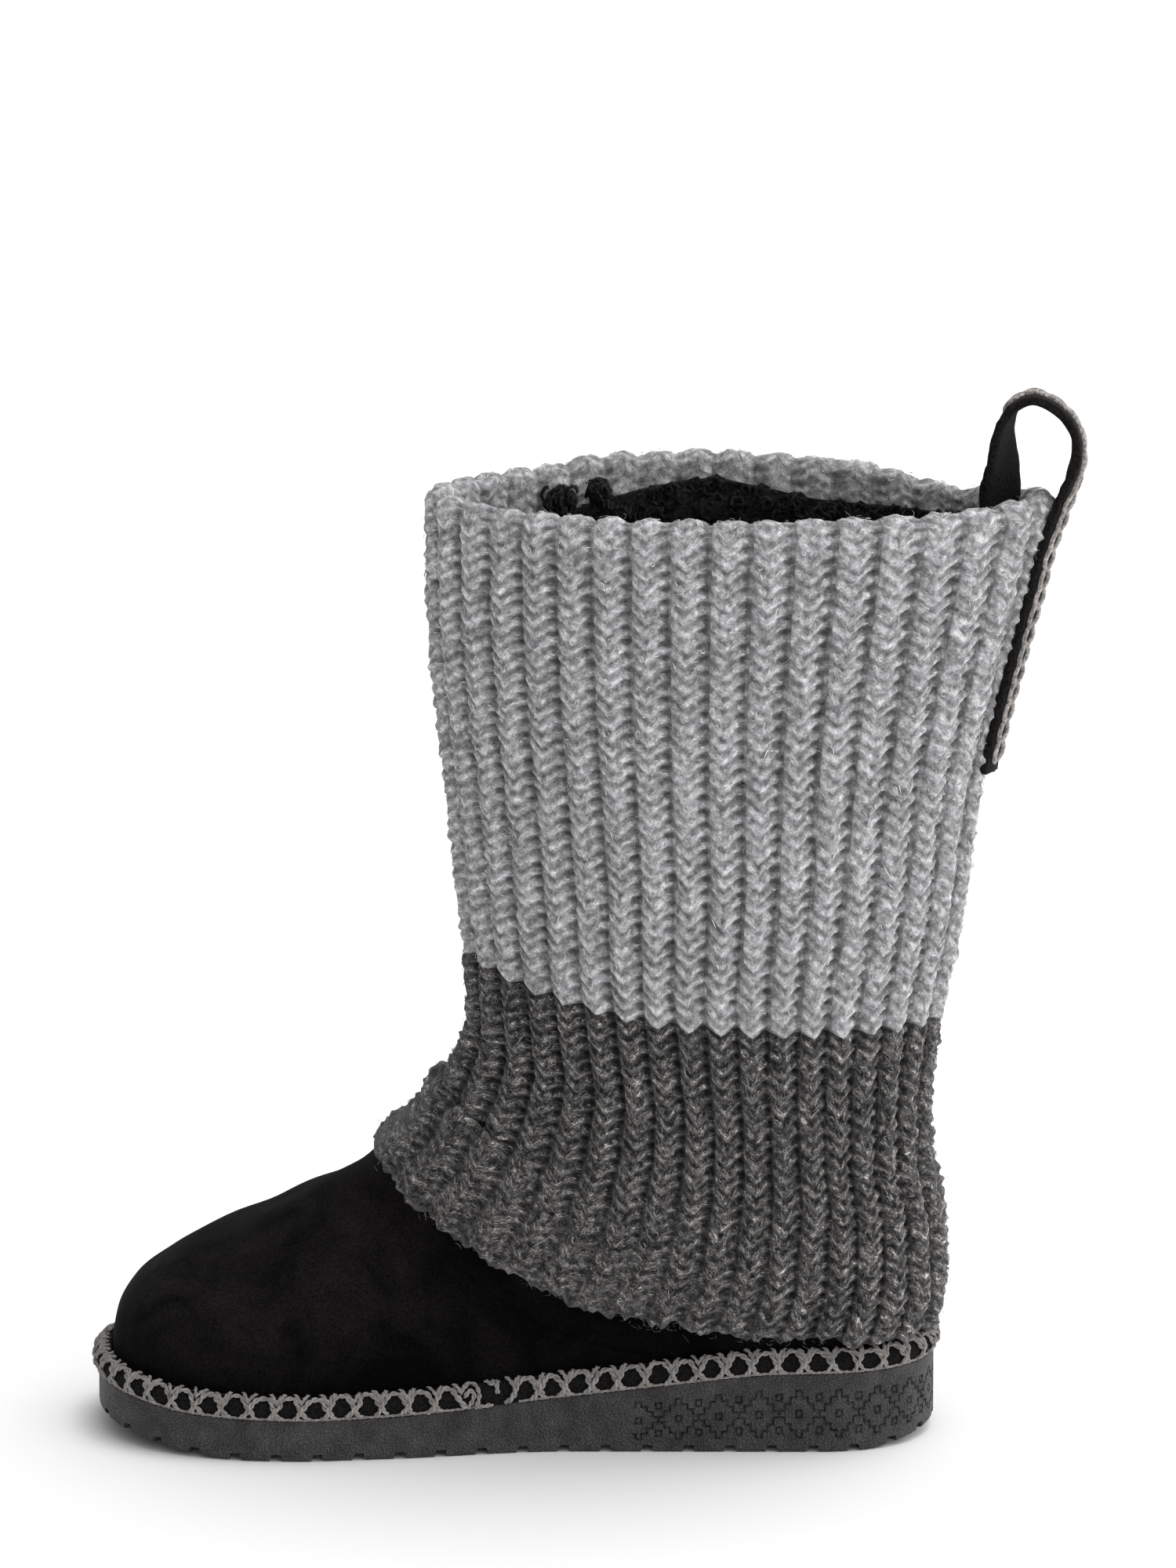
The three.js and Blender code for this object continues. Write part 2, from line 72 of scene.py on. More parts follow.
def through(places, values, at):
    """Smooth curve through a table's column that never overshoots its rows."""
    places, values = np.asarray(places, float), np.asarray(values, float)
    slopes = np.diff(values) / np.diff(places)
    turning = slopes[:-1] * slopes[1:]
    total = np.where(turning > 0, slopes[:-1] + slopes[1:], 1.0)
    tangents = np.concatenate([slopes[:1], np.where(turning > 0, 2 * turning / total, 0.0), slopes[-1:]])
    return curve_by(places, values, tangents, np.clip(at, places[0], places[-1]))


def round_off(share, power):
    """Share of full width left at a share of the way from the middle to the end of a round form."""
    return (1 - np.clip(share, 0, 1) ** power) ** (1 / np.asarray(power, float))


def plan_edge(x, side, inset=0.0):
    """Edge of the sole's plan at x, moved inwards; side is 1 for lateral and -1 for medial."""
    x = np.asarray(x, float)
    widths = PLAN_LATERAL if side > 0 else PLAN_MEDIAL
    middle = side * (through(PLAN_X, widths, x) - inset)
    heel_share = (PLAN_X[0] - x) / (PLAN_X[0] - HEEL_BACK - inset)
    heel = side * (widths[0] - inset) * round_off(heel_share, HEEL_ROUNDNESS)
    toe_share = (x - PLAN_X[-1]) / (TOE_TIP - PLAN_X[-1] - inset)
    toe = TOE_AXIS_Y + (side * (widths[-1] - inset) - TOE_AXIS_Y) * round_off(toe_share, TOE_ROUNDNESS)
    return np.where(x < PLAN_X[0], heel, np.where(x > PLAN_X[-1], toe, middle))


def sole_top(x):
    return through(SOLE_TOP_X, SOLE_TOP_Z, x)


def sole_bottom(x):
    toe = np.clip((x - TOE_SPRING_FROM) / (TOE_TIP - TOE_SPRING_FROM), 0, None)
    heel = np.clip((HEEL_BEVEL_FROM - x) / (HEEL_BEVEL_FROM - HEEL_BACK), 0, None)
    return TOE_SPRING * toe**1.7 + HEEL_BEVEL * heel**1.3


def unit(vectors):
    return vectors / np.linalg.norm(vectors, axis=-1, keepdims=True)


def run_along(lines):
    """Length along each line of points, from its start to each point."""
    steps = np.linalg.norm(np.diff(lines, axis=-2), axis=-1)
    return np.concatenate([np.zeros_like(steps[..., :1]), np.cumsum(steps, axis=-1)], -1)


# The outline starts at the heel's back and runs along the lateral side to the toe and home along the medial side.
turn = np.linspace(0.002, 1, 300) * math.pi / 2
outline_x = np.concatenate([
    PLAN_X[0] - (PLAN_X[0] - HEEL_BACK) * np.cos(turn),
    np.linspace(PLAN_X[0], PLAN_X[-1], 400)[1:-1],
    PLAN_X[-1] + (TOE_TIP - PLAN_X[-1]) * np.cos(turn[::-1]),
])
lateral_edge, medial_edge = (np.stack([outline_x, plan_edge(outline_x, side)], 1) for side in (1, -1))
outline = np.concatenate([lateral_edge, medial_edge[::-1], lateral_edge[:1]])
outline_run = run_along(outline)
OUTLINE_LENGTH = outline_run[-1]


def outline_point(run):
    return np.stack([np.interp(run % OUTLINE_LENGTH, outline_run, outline[:, axis]) for axis in (0, 1)], -1)


def on_outline(run):
    """Point and outward direction at a length along the sole's outline."""
    run = np.asarray(run, float)
    ahead = unit(outline_point(run + 0.6) - outline_point(run - 0.6))
    return outline_point(run), np.stack([-ahead[..., 1], ahead[..., 0]], -1)


def grid_faces(rows, columns, closed=True):
    """Four-sided faces of a grid of points laid row after row; a closed grid joins its last column to its first."""
    i, j = np.meshgrid(np.arange(rows - 1), np.arange(columns if closed else columns - 1), indexing="ij")
    k = (j + 1) % columns
    corners = [i * columns + j, i * columns + k, (i + 1) * columns + k, (i + 1) * columns + j]
    return np.stack(corners, -1).reshape(-1, 4)


def capped_faces(rows, columns):
    """Faces of a closed grid with a lid on its first row and on its last."""
    lid = np.arange(columns)
    return [grid_faces(rows, columns), [lid], [lid[::-1] + (rows - 1) * columns]]


def select_only(piece):
    bpy.ops.object.select_all(action="DESELECT")
    bpy.context.view_layer.objects.active = piece
    piece.select_set(True)


def mesh_piece(name, points, face_groups, material, uv=None, tone=None, strand=None, weld=False):
    """Smooth mesh object from points in millimetres and groups of faces, with values that its points carry."""
    mesh = bpy.data.meshes.new(name)
    faces = [face for group in face_groups for face in np.asarray(group).tolist()]
    mesh.from_pydata((np.reshape(points, (-1, 3)) * MM).tolist(), [], faces, shade_flat=False)
    if uv is not None:
        corners = np.concatenate([np.ravel(group) for group in face_groups])
        mesh.uv_layers.new(name="along_and_around").data.foreach_set("uv", uv[corners].astype(np.float32).ravel())
    if tone is not None:
        mesh.attributes.new("tone", "FLOAT", "POINT").data.foreach_set("value", tone.astype(np.float32).ravel())
    if strand is not None:
        layer = mesh.attributes.new("strand", "FLOAT_VECTOR", "POINT")
        layer.data.foreach_set("vector", strand.astype(np.float32).ravel())
    mesh.validate()
    mesh.materials.append(material)
    piece = bpy.data.objects.new(name, mesh)
    bpy.context.scene.collection.objects.link(piece)
    if weld:
        select_only(piece)
        bpy.ops.object.mode_set(mode="EDIT")
        bpy.ops.mesh.select_all(action="SELECT")
        bpy.ops.mesh.remove_doubles(threshold=0.01 * MM)
        bpy.ops.mesh.normals_make_consistent(inside=False)
        bpy.ops.object.mode_set(mode="OBJECT")
    return piece


def shader_of(material):
    return material.node_tree.nodes["Principled BSDF"]


def finish_material(name, roughness, specular, sheen=0.0, sheen_roughness=0.5):
    """New material with the constants of its finish set on the shader itself."""
    material = bpy.data.materials.new(name)
    material.use_nodes = True
    shader = shader_of(material)
    shader.inputs["Roughness"].default_value = roughness
    shader.inputs["Specular IOR Level"].default_value = specular
    shader.inputs["Sheen Weight"].default_value = sheen
    shader.inputs["Sheen Roughness"].default_value = sheen_roughness
    return material


def shader_node(material, kind, **sockets):
    """New node of a material or the sky; each named socket is set to a value or fed by another node's output."""
    node = material.node_tree.nodes.new("ShaderNode" + kind)
    for name, value in sockets.items():
        if isinstance(value, bpy.types.NodeSocket):
            material.node_tree.links.new(value, node.inputs[name])
        else:
            node.inputs[name].default_value = value
    return node


def texture(material, kind, place=None, **settings):
    """Value of a new texture over the piece's own coordinates, or over others that are given."""
    if place is None:
        place = shader_node(material, "TexCoord").outputs["Object"]
    return shader_node(material, "Tex" + kind, Vector=place, **settings).outputs[0]


def ramp_between(material, source, *stops):
    """Colour ramp fed by a value; each stop is a place and a grey or an RGB colour."""
    ramp = shader_node(material, "ValToRGB", Fac=source)
    while len(ramp.color_ramp.elements) < len(stops):
        ramp.color_ramp.elements.new(0.5)
    for element, (place, colour) in zip(ramp.color_ramp.elements, stops):
        element.position = place
        element.color = (*colour, 1) if np.ndim(colour) else (colour, colour, colour, 1)
    return ramp.outputs["Color"]


def paint(material, colour, *over):
    """Colour the shader with a colour, multiplied by each one laid over it."""
    links = material.node_tree.links
    for shade in over:
        blend = shader_node(material, "Mix")
        blend.data_type = "RGBA"
        blend.blend_type = "MULTIPLY"
        blend.inputs["Factor"].default_value = 1.0
        links.new(colour, blend.inputs["A"])
        links.new(shade, blend.inputs["B"])
        colour = blend.outputs["Result"]
    links.new(colour, shader_of(material).inputs["Base Color"])


def bump(material, height, strength, distance, **under):
    """Bump of a depth in millimetres, laid over another bump's Normal when one is given."""
    node = shader_node(material, "Bump", Height=height, Strength=strength, Distance=distance * MM, **under)
    material.node_tree.links.new(node.outputs["Normal"], shader_of(material).inputs["Normal"])
    return node.outputs["Normal"]


rubber = finish_material("moulded_rubber", roughness=0.5, specular=0.3)
pebble = texture(rubber, "Voronoi", Scale=1150)
cloud = texture(rubber, "Noise", Scale=160, Detail=6)
rubber_grey = ramp_between(rubber, cloud, (0.3, (0.038, 0.0355, 0.0361)), (0.75, (0.083, 0.078, 0.0789)))
# Each pebble's top is painted lighter, as a painted highlight, and the creases between pebbles darker, as painted
# shade.
paint(rubber, rubber_grey, ramp_between(rubber, pebble, (0.1, 1.5), (0.65, 0.7)))
grain = bump(rubber, ramp_between(rubber, pebble, (0.1, 1.0), (0.75, 0.0)), strength=1.0, distance=0.8)
bump(rubber, cloud, strength=0.3, distance=0.6, Normal=grain)

LATTICE = 0.47
PER_CELL = 4
BAND_REACH = 122.0
BAND_ROWS = 45
BAND_MIDDLE_ROW = 23
DIAMOND_PERIOD = 28
DIAMOND_STEPS = 3
DOT_RISE = 10
GROOVE_DEPTH = 0.75
lattice = np.arange(0, BAND_REACH, LATTICE)
column_run = np.concatenate([
    lattice,
    np.arange(BAND_REACH, OUTLINE_LENGTH - BAND_REACH, 2.0),
    (OUTLINE_LENGTH - lattice[1:])[::-1],
])
column_point, column_out = on_outline(column_run)
from_heel = np.minimum(column_run, OUTLINE_LENGTH - column_run)
in_band = from_heel < BAND_REACH - 2
column_cell = np.round(from_heel / LATTICE).astype(int)


def stepped_line(across, up, steps):
    """Where the lattice lies on the outline of a diamond built of square cells around a middle cell."""
    found_in = np.zeros(np.shape(across), bool)
    found_out = found_in.copy()
    for to_side in (-0.5, 0.5):
        for to_top in (-0.5, 0.5):
            cell_across = np.floor((across + to_side) / PER_CELL + 0.5)
            cell_up = np.floor((up + to_top) / PER_CELL + 0.5)
            inside = np.abs(cell_across) + np.abs(cell_up) <= steps
            found_in |= inside
            found_out |= ~inside
    return found_in & found_out


motif_across = (column_cell + DIAMOND_PERIOD // 2) % DIAMOND_PERIOD - DIAMOND_PERIOD // 2
motif_beside = column_cell % DIAMOND_PERIOD - DIAMOND_PERIOD // 2
sole_rows = [("top", 26.0, 0.0), ("top", 9.0, 0.0)]
sole_rows += [("top", TOP_EDGE * (1 - math.sin(a)), TOP_EDGE * (1 - math.cos(a))) for a in (0, 0.5, 1.0)]
sole_rows += [("wall", 0.0, share) for share in np.linspace(1, 0, BAND_ROWS)]
sole_rows += [
    ("bottom", BOTTOM_EDGE * (1 - math.cos(a)), BOTTOM_EDGE * (1 - math.sin(a))) for a in (0.5, 1.0, math.pi / 2)]
sole_rows += [("bottom", 13.0, 0.0), ("bottom", 26.0, 0.0)]
sole_points = []
for part, inset, height in sole_rows:
    if part == "wall":
        up = BAND_MIDDLE_ROW - round((1 - height) * (BAND_ROWS - 1))
        line = stepped_line(motif_across, up, DIAMOND_STEPS) | stepped_line(motif_across, up, 0)
        line |= stepped_line(motif_beside, up - DOT_RISE, 0) | stepped_line(motif_beside, up + DOT_RISE, 0)
        inset = np.where(line & in_band, GROOVE_DEPTH, 0.0)
    xy = column_point - column_out * np.reshape(inset, (-1, 1))
    top, bottom = sole_top(xy[:, 0]), sole_bottom(xy[:, 0])
    if part == "top":
        z = top - height
    elif part == "bottom":
        z = bottom + height
    else:
        z = bottom + BOTTOM_EDGE + height * (top - TOP_EDGE - bottom - BOTTOM_EDGE)
    sole_points.append(np.column_stack([xy, z]))
outsole = mesh_piece(
    "outsole_rubber", np.array(sole_points), capped_faces(len(sole_rows), len(column_run)), rubber, weld=True)

LUG_PITCH = 13.6
NOTCH_REACH = (6.0, -12.0)
NOTCH_SHAPE = [(-2.2, -6.0), (2.2, -6.0), (2.2, 0.0), (1.5, 2.4), (-1.5, 2.4), (-2.2, 0.0)]
lug_count = round(OUTLINE_LENGTH / LUG_PITCH)
notch_point, notch_out = on_outline((np.arange(lug_count) + 0.5) * OUTLINE_LENGTH / lug_count)
notch_along = np.stack([notch_out[:, 1], -notch_out[:, 0]], -1)
notch_points = [
    [*(point + out * reach + along * across), sole_bottom(point[0]) + up]
    for point, out, along in zip(notch_point, notch_out, notch_along)
    for reach in NOTCH_REACH for across, up in NOTCH_SHAPE]
corner = np.arange(len(notch_points)).reshape(lug_count, 2, len(NOTCH_SHAPE))
following = np.roll(corner, -1, axis=2)
notch_sides = np.stack([corner[:, 0], following[:, 0], following[:, 1], corner[:, 1]], -1).reshape(-1, 4)
notch_ends = np.stack([corner[:, 0, ::-1], corner[:, 1]], 1).reshape(-1, len(NOTCH_SHAPE))
notches = mesh_piece("lug_notches", notch_points, [notch_sides, notch_ends], rubber, weld=True)
cut = outsole.modifiers.new("lug_notches", "BOOLEAN")
cut.operation = "DIFFERENCE"
cut.solver = "MANIFOLD"
cut.object = notches
select_only(outsole)
bpy.ops.object.modifier_apply(modifier=cut.name)
bpy.data.objects.remove(notches)
bpy.ops.object.shade_smooth_by_angle(angle=math.radians(35))
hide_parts("outsole")
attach(outsole, "root")

# Suede upper
# The foot is black microsuede with a short nap, drawn over the last in one wall 2 mm thick. It stands inside the
# sole's edge and reaches up under the knit to above the ankle. Its nap is brushed into darker and paler clouds.
SUEDE_SETBACK = 4.6
SUEDE_WALL = 2.0
SUEDE_STEPS = 120
SEAT_GAP = 0.3
ON_SOLE = None
LAST_COLUMNS = (
    "at", "base_x", "base_z", "crown_x", "crown_z", "crown_y", "sag", "half", "widest", "base_power", "power")
LAST_SECTIONS = [
    ("toe tip", 234.4, ON_SOLE, 234.4, 29.0, -4, 0, 0, 0.25, 2, 2.3),
    ("toe front", 232.0, ON_SOLE, 232.3, 38.5, -4, 0, 0, 0.25, 2, 2.3),
    ("toe", 226.0, ON_SOLE, 226.5, 48.0, -4, 0, 0, 0.24, 2, 2.3),
    ("toe crown", 212.0, ON_SOLE, 213.0, 57.9, -5, 0, 0, 0.22, 2, 2.3),
    ("ball", 178.0, ON_SOLE, 180.0, 73.2, -5, 0, 0, 0.2, 2, 2.3),
    ("vamp", 132.0, ON_SOLE, 160.0, 83.4, -4, 1, 0, 0.2, 2, 2.5),
    ("throat", 70.0, ON_SOLE, 151.0, 88.9, -3, 10, 30.5, 0.3, 2, 3),
    ("heel seat", -10.0, ON_SOLE, 148.6, 90.5, -2, 26, 31.5, 0.24, 2.3, 4),
    ("feather", -31.4, ON_SOLE, 147.6, 91.1, -2, 25.7, 32, 0.2, 2.5, 4.5),
    ("skirt edge", -31.6, 35.2, 147.0, 91.6, -2, 24, 33, 0.2, 2.5, 4.5),
    ("heel", -35.9, 52.0, 129.3, 108.0, -1, 15, 35.5, 0.23, 2.4, 3.6),
    ("heel top", -35.0, 72.0, 121.0, 119.0, 0, 8, 37, 0.29, 2.3, 2.8),
    ("ankle", -31.0, 92.0, 116.0, 128.5, 0, 4, 38.5, 0.37, 2.2, 2.3),
    ("suede top", -30.2, 110.0, 112.8, 140.0, 0, 4, 39.5, 0.45, 2.1, 2.1),
    ("colour change", -33.8, 141.6, 113.5, 163.0, 0, 6, 41.5, 0.5, 2, 2),
    ("low leg", -39.5, 170.0, 116.0, 186.0, 0, 4, 43.5, 0.5, 2, 2),
    ("mid leg", -46.0, 217.0, 120.2, 227.0, 0, 2, 45, 0.5, 2, 2),
    ("high leg", -53.6, 251.0, 123.4, 256.0, 0, 1, 45, 0.5, 2, 2),
    ("below collar", -61.8, 283.0, 125.2, 285.0, 0, 0, 44.5, 0.5, 2, 2),
    ("collar", -69.0, 312.0, 125.5, 312.0, 0, 0, 44, 0.5, 2, 2),
]
LAST_NAMES = [row[0] for row in LAST_SECTIONS]
BALL_ROW, FEATHER_ROW, SKIRT_ROW, SUEDE_TOP_ROW, COLOUR_ROW, COLLAR_ROW = (
    LAST_NAMES.index(name) for name in ("ball", "feather", "skirt edge", "suede top", "colour change", "collar"))
last_table = {name: [row[i] for row in LAST_SECTIONS] for i, name in enumerate(LAST_COLUMNS)}
last_table["base_z"] = [
    sole_top(x) + SEAT_GAP if z is ON_SOLE else z for x, z in zip(last_table["base_x"], last_table["base_z"])]


def last_value(name, at):
    return through(np.arange(len(LAST_SECTIONS)), last_table[name], at)


def last_surface(at, around, out, lift=0.0):
    """Points of the last grown by out: a row of points for each section number, from its base up the lateral side
    to the crown and down the medial side. around is a number of steps or the angles of each row's points. lift
    raises the lower edge off the sole."""
    at, out = np.atleast_1d(np.asarray(at, float)), np.broadcast_to(out, np.shape(np.atleast_1d(at)))
    before, after = np.clip(at - 0.05, 0, None), np.clip(at + 0.05, None, len(LAST_SECTIONS) - 1)

    def heading(x, z):
        run, rise = last_value(x, after) - last_value(x, before), last_value(z, after) - last_value(z, before)
        size = np.hypot(run, rise)
        return run / size, rise / size

    crown_run, crown_rise = heading("crown_x", "crown_z")
    crown_x, crown_z = last_value("crown_x", at) + out * crown_rise, last_value("crown_z", at) - out * crown_run
    base_run, base_rise = heading("base_x", "base_z")
    standing = at <= FEATHER_ROW
    inset = SUEDE_SETBACK - out
    seat_x = np.clip(last_value("base_x", at), HEEL_BACK + inset, TOE_TIP - inset)
    edges = np.array([[plan_edge(x, side, i) for x, i in zip(seat_x, inset)] for side in (1, -1)])
    base_x = np.where(standing, seat_x, last_value("base_x", at) - out * base_rise)
    base_z = np.where(standing, sole_top(seat_x) + SEAT_GAP + lift, last_value("base_z", at) + out * base_run)
    base_y = np.where(standing, edges.mean(0), 0)
    base_half = np.where(standing, (edges[0] - edges[1]) / 2, 0)
    half = last_value("half", at)
    half = np.where(standing, np.maximum(base_half * 1.03, np.where(half > 0, half + out, 0)), half + out)
    angle = np.linspace(0, 2 * math.pi, around + 1)[None, :] if np.ndim(around) == 0 else around
    share = (1 - np.cos(angle)) / 2
    side = np.where(angle <= math.pi, 1, -1)
    widest, power = last_value("widest", at)[:, None], last_value("power", at)[:, None]
    base_power = last_value("base_power", at)[:, None]
    fullness = (base_half / np.maximum(half, 1e-9))[:, None]
    tuck = round_off(fullness, base_power)
    low = round_off(tuck * np.clip(widest - share, 0, None) / widest, base_power)
    high = round_off((share - widest) / (1 - widest), power)
    width = half[:, None] * np.where(share < widest, low, high)
    dip = last_value("sag", at)[:, None] * share * (1 - share) * (1 + 1.56 * share) / 0.4634
    crown_y = last_value("crown_y", at)
    return np.stack([
        base_x[:, None] + (crown_x - base_x)[:, None] * share,
        base_y[:, None] + (crown_y - base_y)[:, None] * share + side * width,
        base_z[:, None] + (crown_z - base_z)[:, None] * share - dip,
    ], -1)


def last_wall(at, outer, inner):
    """Points and faces of a wall between two surfaces of the last, open at its top and along the sole."""
    rows, columns = outer.shape[:2]
    points = np.concatenate([outer.reshape(-1, 3), inner.reshape(-1, 3)])
    o = np.arange(rows * columns).reshape(rows, columns)
    i = o + rows * columns
    outside = grid_faces(rows, columns, closed=False)
    faces = [outside, (outside + rows * columns)[:, ::-1]]
    foot = np.flatnonzero(np.asarray(at)[:-1] < FEATHER_ROW)
    faces.append(np.stack([o[foot, 0], o[foot + 1, 0], i[foot + 1, 0], i[foot, 0]], -1))
    faces.append(np.stack([o[foot + 1, -1], o[foot, -1], i[foot, -1], i[foot + 1, -1]], -1))
    faces.append(np.stack([o[-1, :-1], o[-1, 1:], i[-1, 1:], i[-1, :-1]], -1))
    return points, faces


def soft_noise(points, size, seed):
    """Smooth random field of about unit height over points, with swells of about the given size."""
    draw = np.random.default_rng(seed)
    waves = draw.normal(size=(40, 3))
    waves *= (2 * math.pi / (size * draw.uniform(0.6, 1.8, 40)) / np.linalg.norm(waves, axis=1))[:, None]
    return np.cos(points @ waves.T + draw.uniform(0, 2 * math.pi, 40)).sum(-1) / math.sqrt(20)


def attribute(material, name, output="Fac"):
    """Value that a mesh carries at its points."""
    node = shader_node(material, "Attribute")
    node.attribute_name = name
    return node.outputs[output]


suede = finish_material("black_suede", roughness=0.95, specular=0.02, sheen=0.02, sheen_roughness=0.4)
brushed = texture(suede, "Noise", Scale=32, Detail=5, Roughness=0.62, Distortion=0.6)
nap = texture(suede, "Noise", Scale=1500, Detail=3)
# The last layer is painted light: the mesh's tone makes the top of the toe paler.
paint(
    suede, ramp_between(suede, brushed, (0.38, (0.0022, 0.0020, 0.0020)), (0.68, (0.0068, 0.0061, 0.0058))),
    ramp_between(suede, nap, (0.3, 0.45), (0.75, 1.75)),
    ramp_between(suede, attribute(suede, "tone"), (0.0, 0.85), (1.0, 2.4)))
bump(suede, nap, strength=0.5, distance=0.25)

suede_at = np.concatenate([
    np.arange(0, BALL_ROW, 0.1), np.arange(BALL_ROW, SKIRT_ROW, 0.125),
    np.arange(SKIRT_ROW, SUEDE_TOP_ROW + 0.01, 0.25)])
suede_outer = last_surface(suede_at, SUEDE_STEPS, 0.0)
swell = soft_noise(suede_outer, 26, seed=3) * 0.35
suede_outer[..., 2] += swell * np.clip((suede_outer[..., 2] - sole_top(suede_outer[..., 0]) - 8) / 20, 0, 1)
suede_inner = last_surface(suede_at, SUEDE_STEPS, -SUEDE_WALL)
points, faces = last_wall(suede_at, suede_outer, suede_inner)
# The top of the toe is painted a little paler, as painted light falling on it.
painted_toe_light = np.clip((points[:, 0] - 110) / 90, 0, 1) * np.clip((points[:, 2] - 24) / 22, 0, 1)
upper = mesh_piece("suede_upper", points, faces, suede, tone=painted_toe_light, weld=True)
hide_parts("upper")
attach(upper, "root")

# Insole
# A felted pad on a thin foam, laid loose on the outsole inside the suede. It is slightly crowned in the middle.
INSOLE_INSET = 8.4
PAD_ROWS = [(20.0, 0.0), (1.0, 0.0), (0.0, 1.0), (0.0, 3.6), (0.7, 4.6), (2.2, 5.0), (9.0, 5.2), (20.0, 5.6)]


def black_finish(name, kind, dark, pale, strength, distance, roughness, specular, sheen, **settings):
    """Black felted, woven or piled finish: one fine texture gives both its colour and its bump."""
    material = finish_material(name, roughness, specular, sheen)
    value = texture(material, kind, **settings)
    paint(material, ramp_between(material, value, dark, pale))
    bump(material, value, strength, distance)
    return material


felt = black_finish(
    "black_felt", "Noise", (0.3, 0.006), (0.75, 0.022), strength=0.6, distance=0.8,
    roughness=0.95, specular=0.1, sheen=0.15, Scale=700, Detail=5)
pad_point, pad_out = on_outline(np.linspace(0, OUTLINE_LENGTH, 180, endpoint=False))
pad_points = []
for inset, up in PAD_ROWS:
    xy = pad_point - pad_out * (INSOLE_INSET + inset)
    pad_points.append(np.column_stack([xy, sole_top(xy[:, 0]) + SEAT_GAP + up]))
insole = mesh_piece(
    "insole_pad", np.array(pad_points), capped_faces(len(PAD_ROWS), len(pad_point)), felt, weld=True)
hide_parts("insole")
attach(insole, "root")

# Welt trim
# A black woven tape laid round the foot of the suede on the sole's edge, laced over with warm grey flat yarn:
# crossed strands that arch over round gaps, a V stitch in each crossing and a thread along the sole.
TRIM_SHARE = [0.0, 0.3, 0.62, 0.88, 1.0]
TRIM_INWARDS = [0.3, -0.7, -0.1, 1.9, 3.7]
TRIM_UP = [0.3, 2.5, 5.0, 6.9, 7.3]
TAPE_INSET = 4.1
OWN_SHIFT = 137.0
PLY_ASIDE, PLY_ABOVE, PLY_WIDE, PLY_THICK = 0.52, 0.3, 0.54, 0.46


def on_trim(run, share, proud):
    """Point and outward direction of the trim's face at a length along the sole and a share of the way up, standing
    proud of it."""
    run, share, proud = np.broadcast_arrays(np.asarray(run, float), share, proud)
    point, out = on_outline(run)
    (inwards, lean_in), (up, lean_up) = (
        (through(TRIM_SHARE, table, share),
         through(TRIM_SHARE, table, share + 0.04) - through(TRIM_SHARE, table, share - 0.04))
        for table in (TRIM_INWARDS, TRIM_UP))
    size = np.hypot(lean_in, lean_up)
    face_out, face_up = lean_up / size, lean_in / size
    xy = point + out * (proud * face_out - inwards)[..., None]
    z = sole_top(xy[..., 0]) + up + proud * face_up
    normal = np.concatenate([out * face_out[..., None], face_up[..., None]], -1)
    return np.concatenate([xy, z[..., None]], -1), normal


def yarn_tubes(paths, normals, half_wide, half_thick, sides, taper=0.4):
    """Tubes along many paths at once, flattened onto the surface below them, with drawn-in closed ends.
    Returns points, groups of faces and a UV that runs along each tube in millimetres and round it."""
    many, steps = paths.shape[:2]
    ahead = unit(np.gradient(paths, axis=1))
    across = unit(np.cross(ahead, normals))
    up = np.cross(across, ahead)
    size = np.ones(steps)
    size[[0, -1]] = taper
    angle = 2 * math.pi * np.arange(sides)[:, None] / sides - math.pi / 2
    wide, thick = (
        np.broadcast_to(half, many)[:, None, None, None] * size[:, None, None] for half in (half_wide, half_thick))
    points = paths[:, :, None] + (
        across[:, :, None] * np.cos(angle) * wide + up[:, :, None] * np.sin(angle) * thick)
    index = np.arange(many * steps * sides).reshape(many, steps, sides)
    turned = np.roll(index, -1, axis=2)
    quads = np.stack([index[:, :-1], index[:, 1:], turned[:, 1:], turned[:, :-1]], -1).reshape(-1, 4)
    ends = np.concatenate([index[:, 0], index[:, -1, ::-1]])
    uv = np.stack(np.broadcast_arrays(run_along(paths)[:, :, None], np.arange(sides) / sides), -1)
    return points.reshape(-1, 3), [quads, ends], uv.reshape(-1, 2)


def join_tubes(parts):
    """One set of points, faces and UV from several sets of tubes with as many sides each."""
    points, faces, uvs = zip(*parts)
    starts = np.cumsum([0, *map(len, points)])
    groups = [np.concatenate([group + start for group, start in zip(kind, starts)]) for kind in zip(*faces)]
    return np.concatenate(points), groups, np.concatenate(uvs)


def two_ply(path, normal, half_wide, twist):
    """Two plies twisted round each other along each path, with a turn every twist millimetres."""
    across = unit(np.cross(np.gradient(path, axis=1), normal))
    turn = 2 * math.pi * run_along(path) / twist
    half_wide = np.broadcast_to(half_wide, len(path))
    plies = []
    for start in (0, math.pi):
        aside = (PLY_ASIDE * half_wide[:, None] * np.cos(turn + start))[..., None]
        above = (PLY_ABOVE * half_wide[:, None] * np.sin(turn + start))[..., None]
        ply = path + across * aside + normal * above
        plies.append(yarn_tubes(ply, normal, half_wide * PLY_WIDE, half_wide * PLY_THICK, sides=5, taper=0.6))
    return plies


